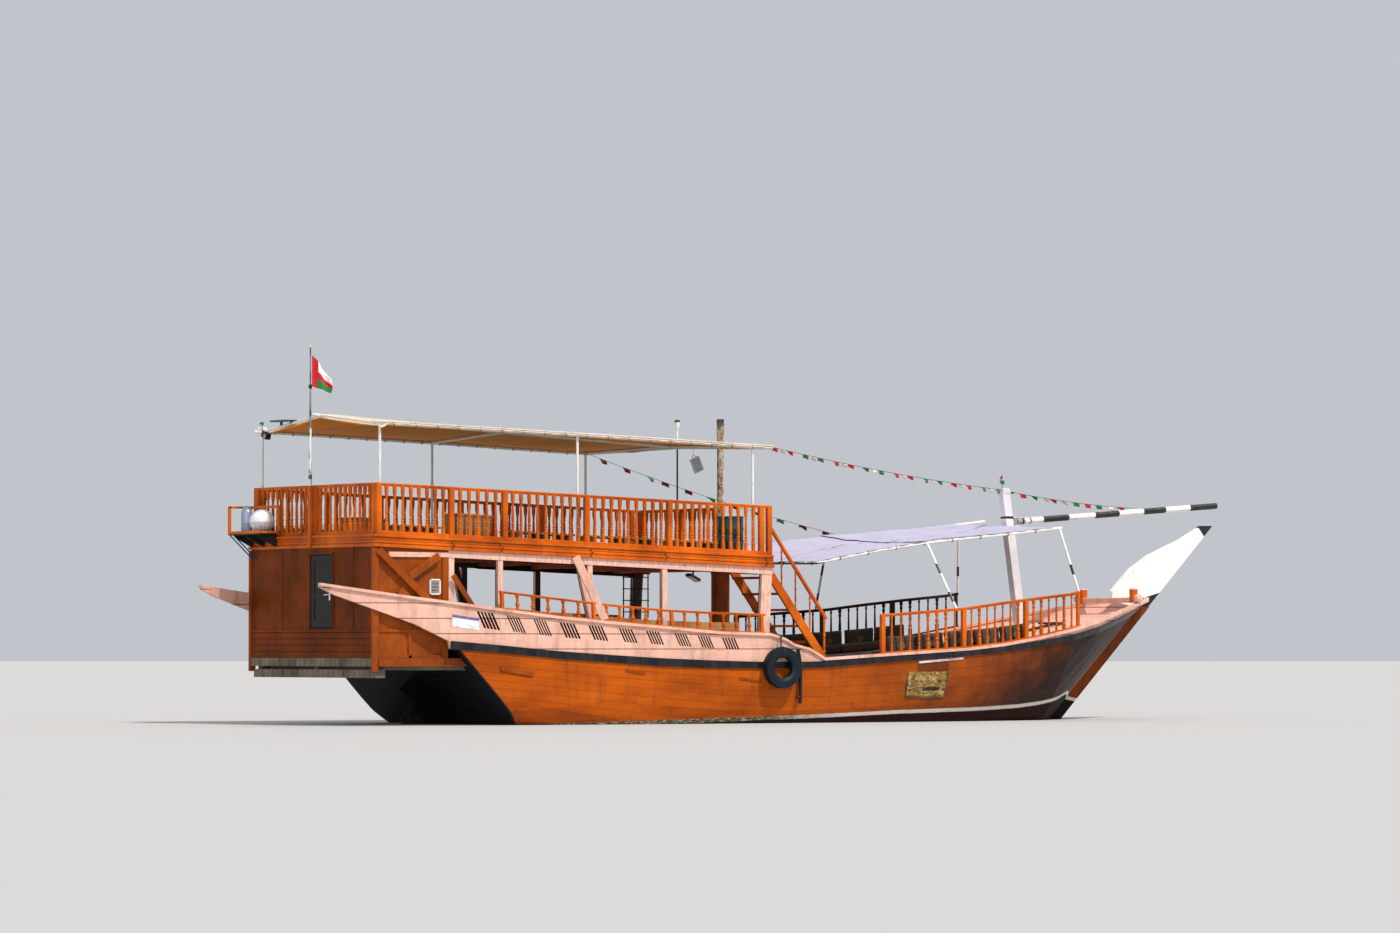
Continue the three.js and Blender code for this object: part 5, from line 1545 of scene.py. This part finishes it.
def plateFinish():                        # blank white plate with a plain coloured band along its top
    paint = Shader("blankPlate", 0.35)
    band = (paint.z + (paint.x + 6.87) * 0.13).above(1.7, 0.002)
    return paint.finished(paint.coated(rgb(228, 232, 236), (band, rgb(112, 92, 152)),
                                       (paint.noise(14, 5, 0.6).above(0.6, 0.1) * 0.4, rgb(150, 140, 128))))


def hullTrim():
    kit = Kit()
    kit.add("side", *[patch("hull", *batten) for batten in hullBits["battens"]])
    x0, z0, x1, z1 = hullLook["patch"]
    for k, (shift, thick) in enumerate(hullBits["boards"]):    # three rough boards, not quite in line
        low, high = z0 + (z1 - z0) * k / 3, z0 + (z1 - z0) * (k + 0.985) / 3
        kit.add("patched", patch("hull", x0 + shift, low, x1 + shift * 0.7, high, thick))
    kit.add("flaking", patch("hull", *hullBits["strip"], rows=1))
    kit.add("plate", patch("wing_starboard", *hullBits["plate"]))
    return kit


def outletPipe():                         # a stiff pipe clamped down the side, with its two saddles
    kit, line = Kit(), []
    for x, z in hullBits["pipe"]:
        out = min(skin("strake_starboard", x, min(z, 1.0))[0].y, skin("hull", x, min(z, 0.86))[0].y)
        line.append((x, out - 0.048, z))
    kit.line("rubber", line, 0.028, 10)
    for x, z in hullBits["saddles"]:
        kit.block("iron", (x - 0.045, line[-1][1] - 0.03, z - 0.015),
                  (x + 0.045, skin("hull", x, z)[0].y + 0.004, z + 0.015))
    return kit


finishes["patched"] = patchedWood()
finishes["plate"] = plateFinish()
joined("hull_patches_and_plate", hullTrim())
joined("side_outlet_pipe", outletPipe(), smooth=50)
print("hull trimmed")

# Lower deck: lamp, rack and dark lining under the upper deck that is painted shade, a brace and the short
# raked stay by the cabin
lowerWork = {
    "stay": ((-6.8, -2.12, 2.36), (-6.47, -2.16, 1.88), 0.03, 0.085),
    "brace": ((-4.553, -2.102, 2.67), (-4.13, -2.305, 1.665), 0.06, 0.125, 0.008),
    "rack": {"x": (-1.24, -0.76), "y": 1.88, "z": (1.72, 2.46), "rungs": 4},
    "lamp": (-2.15, -1.78, 2.36),
    "lining": [(-6.72, -5.96), (-5.84, -4.45), (-4.05, -2.92), (-2.79, -1.0)],
}


def framePaint():                         # pink outside; the faces turned inboard are painted dark brown as shade
    paint = Shader("framePaint")
    grain = paint.noise(6, 7, 0.62, (5, 5, 1))
    inner = 1 - paint.y.size().above(1.985, 0.001)
    colour = paint.mix(grain.above(0.5, 0.2), rgb(238, 194, 176), rgb(216, 166, 148))
    colour = paint.coated(colour, (paint.noise(5, 7, 0.7).above(0.64, 0.03) * 0.6, rgb(150, 126, 108)),
                          (inner, paint.mix(grain, rgb(60, 40, 30), rgb(34, 22, 18))))
    return paint.finished(colour, 0.48 + grain * 0.15, grain, 0.003)


def lowerDeckTrim():
    kit = Kit()
    kit.beam("side", *lowerWork["stay"])
    kit.beam("pink", *lowerWork["brace"])
    for bay in lowerWork["lining"]:       # a dark board and a rounded batten at the head of each bay, painted dark as shade
        for y in (-1.925, 1.925):
            for drop, wide, deep in ((0.255, 0.024, 0.1), (0.305, 0.044, 0.034)):
                ends = [(x, y, deckHeight(x) - drop) for x in bay]
                kit.beam("paintedShadeRail", *ends, wide, deep, min(wide, deep) * 0.3)
    return kit


def rackAndLamp():
    rack, kit = lowerWork["rack"], Kit()
    (x0, x1), (z0, z1), y = rack["x"], rack["z"], rack["y"]
    for x in (x0, x0 + 0.15, x1):
        kit.line("iron", [(x, y, z0), (x, y, z1)], 0.012, 8)
    for k in range(rack["rungs"]):
        z = z0 + 0.1 + (z1 - z0 - 0.16) * k / (rack["rungs"] - 1)
        kit.line("iron", [(x0 - 0.02, y, z), (x1 + 0.02, y, z)], 0.009, 8)
    kit.block("shade", (x0 - 0.04, y - 0.02, z1 - 0.01), (x1 + 0.04, y + 0.05, z1 + 0.03), 0.004)
    x, y, z = lowerWork["lamp"]
    kit.beam("iron", (x, y, z + 0.15), (x, y, z + 0.03), 0.03, 0.012, 0.002)
    kit.beam("iron", (x - 0.1, y, z + 0.045), (x + 0.1, y, z - 0.055), 0.16, 0.05, 0.01)
    kit.beam("tube", (x - 0.09, y, z + 0.012), (x + 0.08, y, z - 0.075), 0.13, 0.012, 0.003)
    return kit


finishes["frame"] = framePaint()
for side in ("port", "starboard"):
    wear(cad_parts["frame_" + side], "frame")
joined("head_boards_and_stay", lowerDeckTrim(), smooth=40)
joined("rack_and_flood_lamp", rackAndLamp(), smooth=40)

# Upper deck: turf mat, low slatted benches along both rails and a locker seat
upperWork = {
    "turf": (-8.02, -0.93, 1.945),
    "benches": [(-7.7, -6.9), (-5.6, -4.45), (-4.15, -2.9), (-2.6, -1.75)],
    "across": (1.93, 1.47),
    "height": 0.17,
    "foot": 0.014,
    "locker": (-6.62, -5.98, 0.4),
}


def upperDeckGoods():                     # made on a level deck and laid on the real one
    high, foot = upperWork["height"], upperWork["foot"]
    kit = Kit()
    for side in (-1, 1):
        y0, y1 = sorted(side * y for y in upperWork["across"])
        slat = (y1 - y0) / 4
        for a, b in upperWork["benches"]:
            for k in range(4):
                y = y0 + k * slat
                kit.block("tan", (a, y + 0.006, high - 0.03), (b, y + slat - 0.006, high), 0.005)
            for x in (a + 0.05, (a + b) / 2, b - 0.1):
                kit.block("tan", (x, y0 + 0.01, foot), (x + 0.045, y1 - 0.01, high - 0.03), 0.004)
        a, b, lid = upperWork["locker"]
        kit.block("tan", (a, y0, foot), (b, y1, lid - 0.04), 0.006)
        kit.block("tan", (a - 0.015, y0 - 0.015, lid - 0.04), (b + 0.015, y1 + 0.015, lid), 0.008)
        for x in (a + (b - a) / 3, a + (b - a) * 2 / 3):
            kit.block("tan", (x - 0.003, y0 - 0.004, 0.02), (x + 0.003, y1 + 0.004, lid - 0.04), 0.0)
    for part in kit:
        for vertex in part.data.vertices:
            vertex.co.z += deckHeight(vertex.co.x)
    return kit


def turfPoint(u, v):                      # one mat that lies on the deck, a little uneven
    x0, x1, half = upperWork["turf"]
    x, y = x0 + (x1 - x0) * u, half * v
    ruck = 0.0015 * (math.sin(x * 5 + y * 3) + math.sin(y * 7 - x * 2))
    return Vector((x, y, deckHeight(x) + 0.0085 + ruck))


joined("upper_deck_seats", upperDeckGoods())
turf = laid(clothSheet("upper_deck_turf", "turf", turfPoint, 60, 30, 0.009))
print("decks furnished")

# Doors: raised frame, mid rail, kick plate and a lever, all on the leaf that swings
doorWork = {
    # outer face, which way it looks, edges across the boat, height, lever
    "stern_door": (-8.1782, -1, (-0.688, -0.03), (1.54, 2.68), (-0.62, 2.06)),
    "cabin_door": (-6.8518, 1, (-0.368, 0.316), (1.27, 2.626), (-0.29, 1.9)),
    "proud": 0.009,
    "stile": 0.075,
}


def doorLeaf(door, finish):
    face, out, (y0, y1), (z0, z1), (y, z) = doorWork[door]
    stile, mid = doorWork["stile"], z0 + (z1 - z0) * 0.42
    x0, x1 = sorted((face, face + out * doorWork["proud"]))
    a, b = y0 + stile, y1 - stile
    kit = Kit()
    for low, foot, high, head in ((y0, z0, a, z1), (b, z0, y1, z1), (a, z0, b, z0 + stile * 1.6),
                                  (a, z1 - stile, b, z1), (a, mid, b, mid + stile)):
        kit.block(finish, (x0, low, foot), (x1, high, head), 0.003)
    x0, x1 = sorted((face, face + out * 0.013))
    kit.block("tube", (x0, y - 0.022, z - 0.09), (x1, y + 0.022, z + 0.07), 0.004)
    tip = face + out * 0.052
    kit.line("tube", [(face, y, z), (tip, y, z), (tip, y + 0.02, z), (tip, y + 0.11, z - 0.004)], 0.008, 8)
    return kit


joined("stern_door_frame", doorLeaf("stern_door", "door"), body="stern_door", smooth=30)
joined("cabin_door_frame", doorLeaf("cabin_door", "darkDoor"), body="cabin_door", smooth=30)

# Iron work: bolts through the brace heads, straps on mast and boom, the bracket over the boom's pivot
ironWork = {
    "braces": [-6.79, -5.9, -4.25, -2.85, -0.94],
    # ahead of the brace head and below the deck
    "bolts": [(-0.018, -0.075), (0.018, -0.118), (-0.01, -0.165)],
    "bolt": [(0, 16.5), (0.003, 16.5), (0.0035, 11), (0.009, 11), (0.012, 6.6)],
    "pivot": 5.412,
    "mast": {"top": (5.19, 3.94), "slope": -0.147, "half": 0.075, "ring": 3.862,
             "bands": ((3.84, 0.05, "white"), (3.42, 0.04, "iron"))},
    "boom": {"heel": (5.412, 3.37), "tip": (9.7, 3.69), "radius": 0.0525,
             "bands": ((5.56, 0.03), (5.72, 0.02))},
}


def braceBolts():                         # domed heads that face across the boat
    kit = Kit()
    head = spindle(ironWork["bolt"])
    for side in (-1, 1):
        turn = Matrix.Rotation(-side * math.pi / 2, 3, "X").to_quaternion()
        for x in ironWork["braces"]:
            for ahead, drop in ironWork["bolts"]:
                kit.add("iron", copied(head, (x + ahead, side * 2.0955, deckHeight(x) + drop), turn=turn))
    scrapped(head)
    return kit


def mastIron():
    mast, pivot = ironWork["mast"], ironWork["pivot"]
    (foreX, top), slope, half, z = mast["top"], mast["slope"], mast["half"], mast["ring"]
    kit = Kit()
    for low, tall, finish in mast["bands"]:
        x, out = foreX + (low - top) * slope, half + 0.006
        kit.block(finish, (x - out, -out, low), (x + out, out, low + tall), 0.003)
    start = foreX + (z - top) * slope + half - 0.004
    for y in (-0.022, 0.022):             # bracket whose ring stands over the pivot
        kit.block("iron", (start, y - 0.004, z - 0.015), (pivot - 0.018, y + 0.004, z + 0.015), 0.002)
    kit.line("iron", ring((pivot, 0, z), (0.024, 0, 0), (0, 0.024, 0), 12), 0.006)
    return kit


def boomIron():
    boom, kit = ironWork["boom"], Kit()
    (x0, z0), (x1, z1), radius = boom["heel"], boom["tip"], boom["radius"]

    def onBoom(x, above=0.0):
        return x, 0, z0 + (z1 - z0) * (x - x0) / (x1 - x0) + above

    for x, wide in boom["bands"]:
        kit.beam("iron", onBoom(x), onBoom(x + wide), 2 * radius + 0.01, 2 * radius + 0.01, 0.002, 16)
    kit.beam("tube", onBoom(5.5, radius + 0.004), onBoom(5.95, radius + 0.004), 0.035, 0.008, 0.002)
    return kit


joined("brace_bolts", braceBolts(), smooth=30)
joined("mast_iron", mastIron(), smooth=30)
joined("boom_iron", boomIron(), body="boom", smooth=30)
print("doors and iron work fitted")

# Bunting: red, white and green strips on taut lines, from the canopy to the mast and on down to the boom
buntingWork = {
    "strip": (0.15, 0.065),
    "line": 0.004,
    # two ends, sag, how many strips, their colours in turn
    "starboard": ((-0.84, -1.95, 4.5), (5.15, -0.085, 3.9), 0.06, 24,
                  ["Red", "White", "Red", "Green", "White", "Green"]),
    "port": ((-1.9, 1.955, 4.46), (2.74, 1.545, 3.16), 0.07, 11, ["Darkred", "Darkred", "Green"]),
    "boom": ((5.436, 0, 3.862), (7.98, 0, 3.625), 0.035, 11,
             ["Red", "Green", "White", "Red", "White", "Green"]),
}


def hanging(start, end, sag, count):      # points of a line hung between two ends
    steps = [k / count for k in range(count + 1)]
    return [start.lerp(end, t) - Vector((0, 0, 4 * sag * t * (1 - t))) for t in steps]


def strip(at, along, swing, colour):      # one strip hung from the line, blown a little
    long, tall = buntingWork["strip"]

    def point(u, v):
        drop = tall * (v + 1) / 2
        turn = swing + 0.9 * math.sin(u * 3.1 + swing)
        return at + along * (long * (u - 0.5)) + Vector((0, math.sin(turn) * drop, -math.cos(turn) * drop))

    return clothSheet("strip", "strip" + colour, point, 4, 2, 0.0016)


def bunting(name, body):
    start, end, sag, count, colours = buntingWork[name]
    line = hanging(Vector(start), Vector(end), sag, 32)
    along = (line[-1] - line[0]).normalized()
    strips = []
    for k in range(count):
        place = line[round((k + 0.6) * 32 / count)] - Vector((0, 0, 0.001))
        strips.append(strip(place, along, random.uniform(-0.9, 0.9), colours[k % len(colours)]))
    joined("bunting_line_" + name, [wear(runner(line, buntingWork["line"]), "rope")], body=body)
    flags = joined("bunting_" + name, strips, body=body)


random.seed(11)
bunting("starboard", "boat")
bunting("port", "boat")
bunting("boom", "boom")
print("bunting strung")

# Small goods about the canopy: lamp box on the port post, a little panel, a lantern board on its wire
canopyGoods = {
    "lamp": (-8.03, 1.88, 4.655),
    "panel": ((-8.2, 0.88), (-7.96, 1.39), 4.846),
    "board": (-1.405, -0.7, 4.215),
    "size": (0.17, 0.026, 0.235),
    "tilt": -24,                          # degrees
    "hook": 4.47,
    "staff": ((5.17, 0, 3.92), (5.155, 0, 4.16)),
    # strips on the post and on the mast's staff: place, along, swing, colour
    "strips": [((-8.04, 1.95, 4.865), (0, 1, 0), 0.2, "Green"),
               ((-8.04, 1.95, 4.785), (-0.5, 0.8, 0), -0.5, "White"),
               ((5.16, 0, 4.14), (0.3, 0.9, 0), 0.3, "Red"), ((5.16, 0, 4.07), (0.9, 0.3, 0), -0.4, "Green")],
}


def canopyExtras():
    kit = Kit()
    x, y, z = canopyGoods["lamp"]
    kit.beam("strake", (x, y + 0.02, z + 0.03), (x, y - 0.14, z - 0.035), 0.1, 0.1, 0.01)
    kit.beam("bottle", (x - 0.04, y - 0.1, z - 0.02), (x - 0.056, y - 0.102, z - 0.022), 0.06, 0.06)
    kit.line("iron", [(x, y + 0.05, z - 0.03), (x - 0.01, y + 0.075, z + 0.22)], 0.005)
    (x0, y0), (x1, y1), z = canopyGoods["panel"]
    kit.block("teal", (x0, y0, z), (x1, y1, z + 0.025), 0.005)
    for k in range(3):                    # cells let into the panel's face
        for j in range(2):
            x, y = x0 + 0.014 + j * 0.11, y0 + 0.016 + k * 0.163
            kit.block("strake", (x, y, z + 0.0245), (x + 0.102, y + 0.152, z + 0.0275), 0.001)
    for y in (y0 + 0.08, y1 - 0.08):
        kit.block("iron", (x0 + 0.155, y - 0.012, z - 0.05), (x0 + 0.195, y + 0.012, z + 0.002), 0.003)
    return kit


def lanternBoard():
    wide, deep, tall = (edge / 2 for edge in canopyGoods["size"])
    kit, out = Kit(), deep + 0.005
    kit.block("bottle", (-wide, -deep, -tall), (wide, deep, tall), 0.01)
    for z in (-tall - 0.006, tall - 0.008):
        kit.block("tube", (-wide - 0.006, -out, z), (wide + 0.006, out, z + 0.014), 0.003)
    for x in (-wide - 0.006, wide - 0.008):
        kit.block("tube", (x, -out, -tall), (x + 0.014, out, tall), 0.003)
    handle = [(-0.03, 0), (-0.025, 0.04), (0, 0.055), (0.025, 0.04), (0.03, 0)]
    kit.line("iron", [(x, 0, tall + up) for x, up in handle], 0.004)
    tilt = Matrix.Rotation(math.radians(canopyGoods["tilt"]), 4, "Y")
    turn = Matrix.Translation(canopyGoods["board"]) @ tilt
    for part in kit:
        part.data.transform(turn)
    top = turn @ Vector((0, 0, tall + 0.055))
    kit.line("iron", [top, (top.x, top.y, canopyGoods["hook"])], 0.0035)
    return kit


joined("canopy_lamp_and_panel", canopyExtras(), smooth=30)
joined("lantern_board", lanternBoard(), smooth=30)
twin = joined("post_strips", [strip(Vector(place), Vector(along).normalized(), swing, colour)
                              for place, along, swing, colour in canopyGoods["strips"]])
joined("mast_staff", [wear(runner(canopyGoods["staff"], 0.006), "iron")])
print("small goods hung")
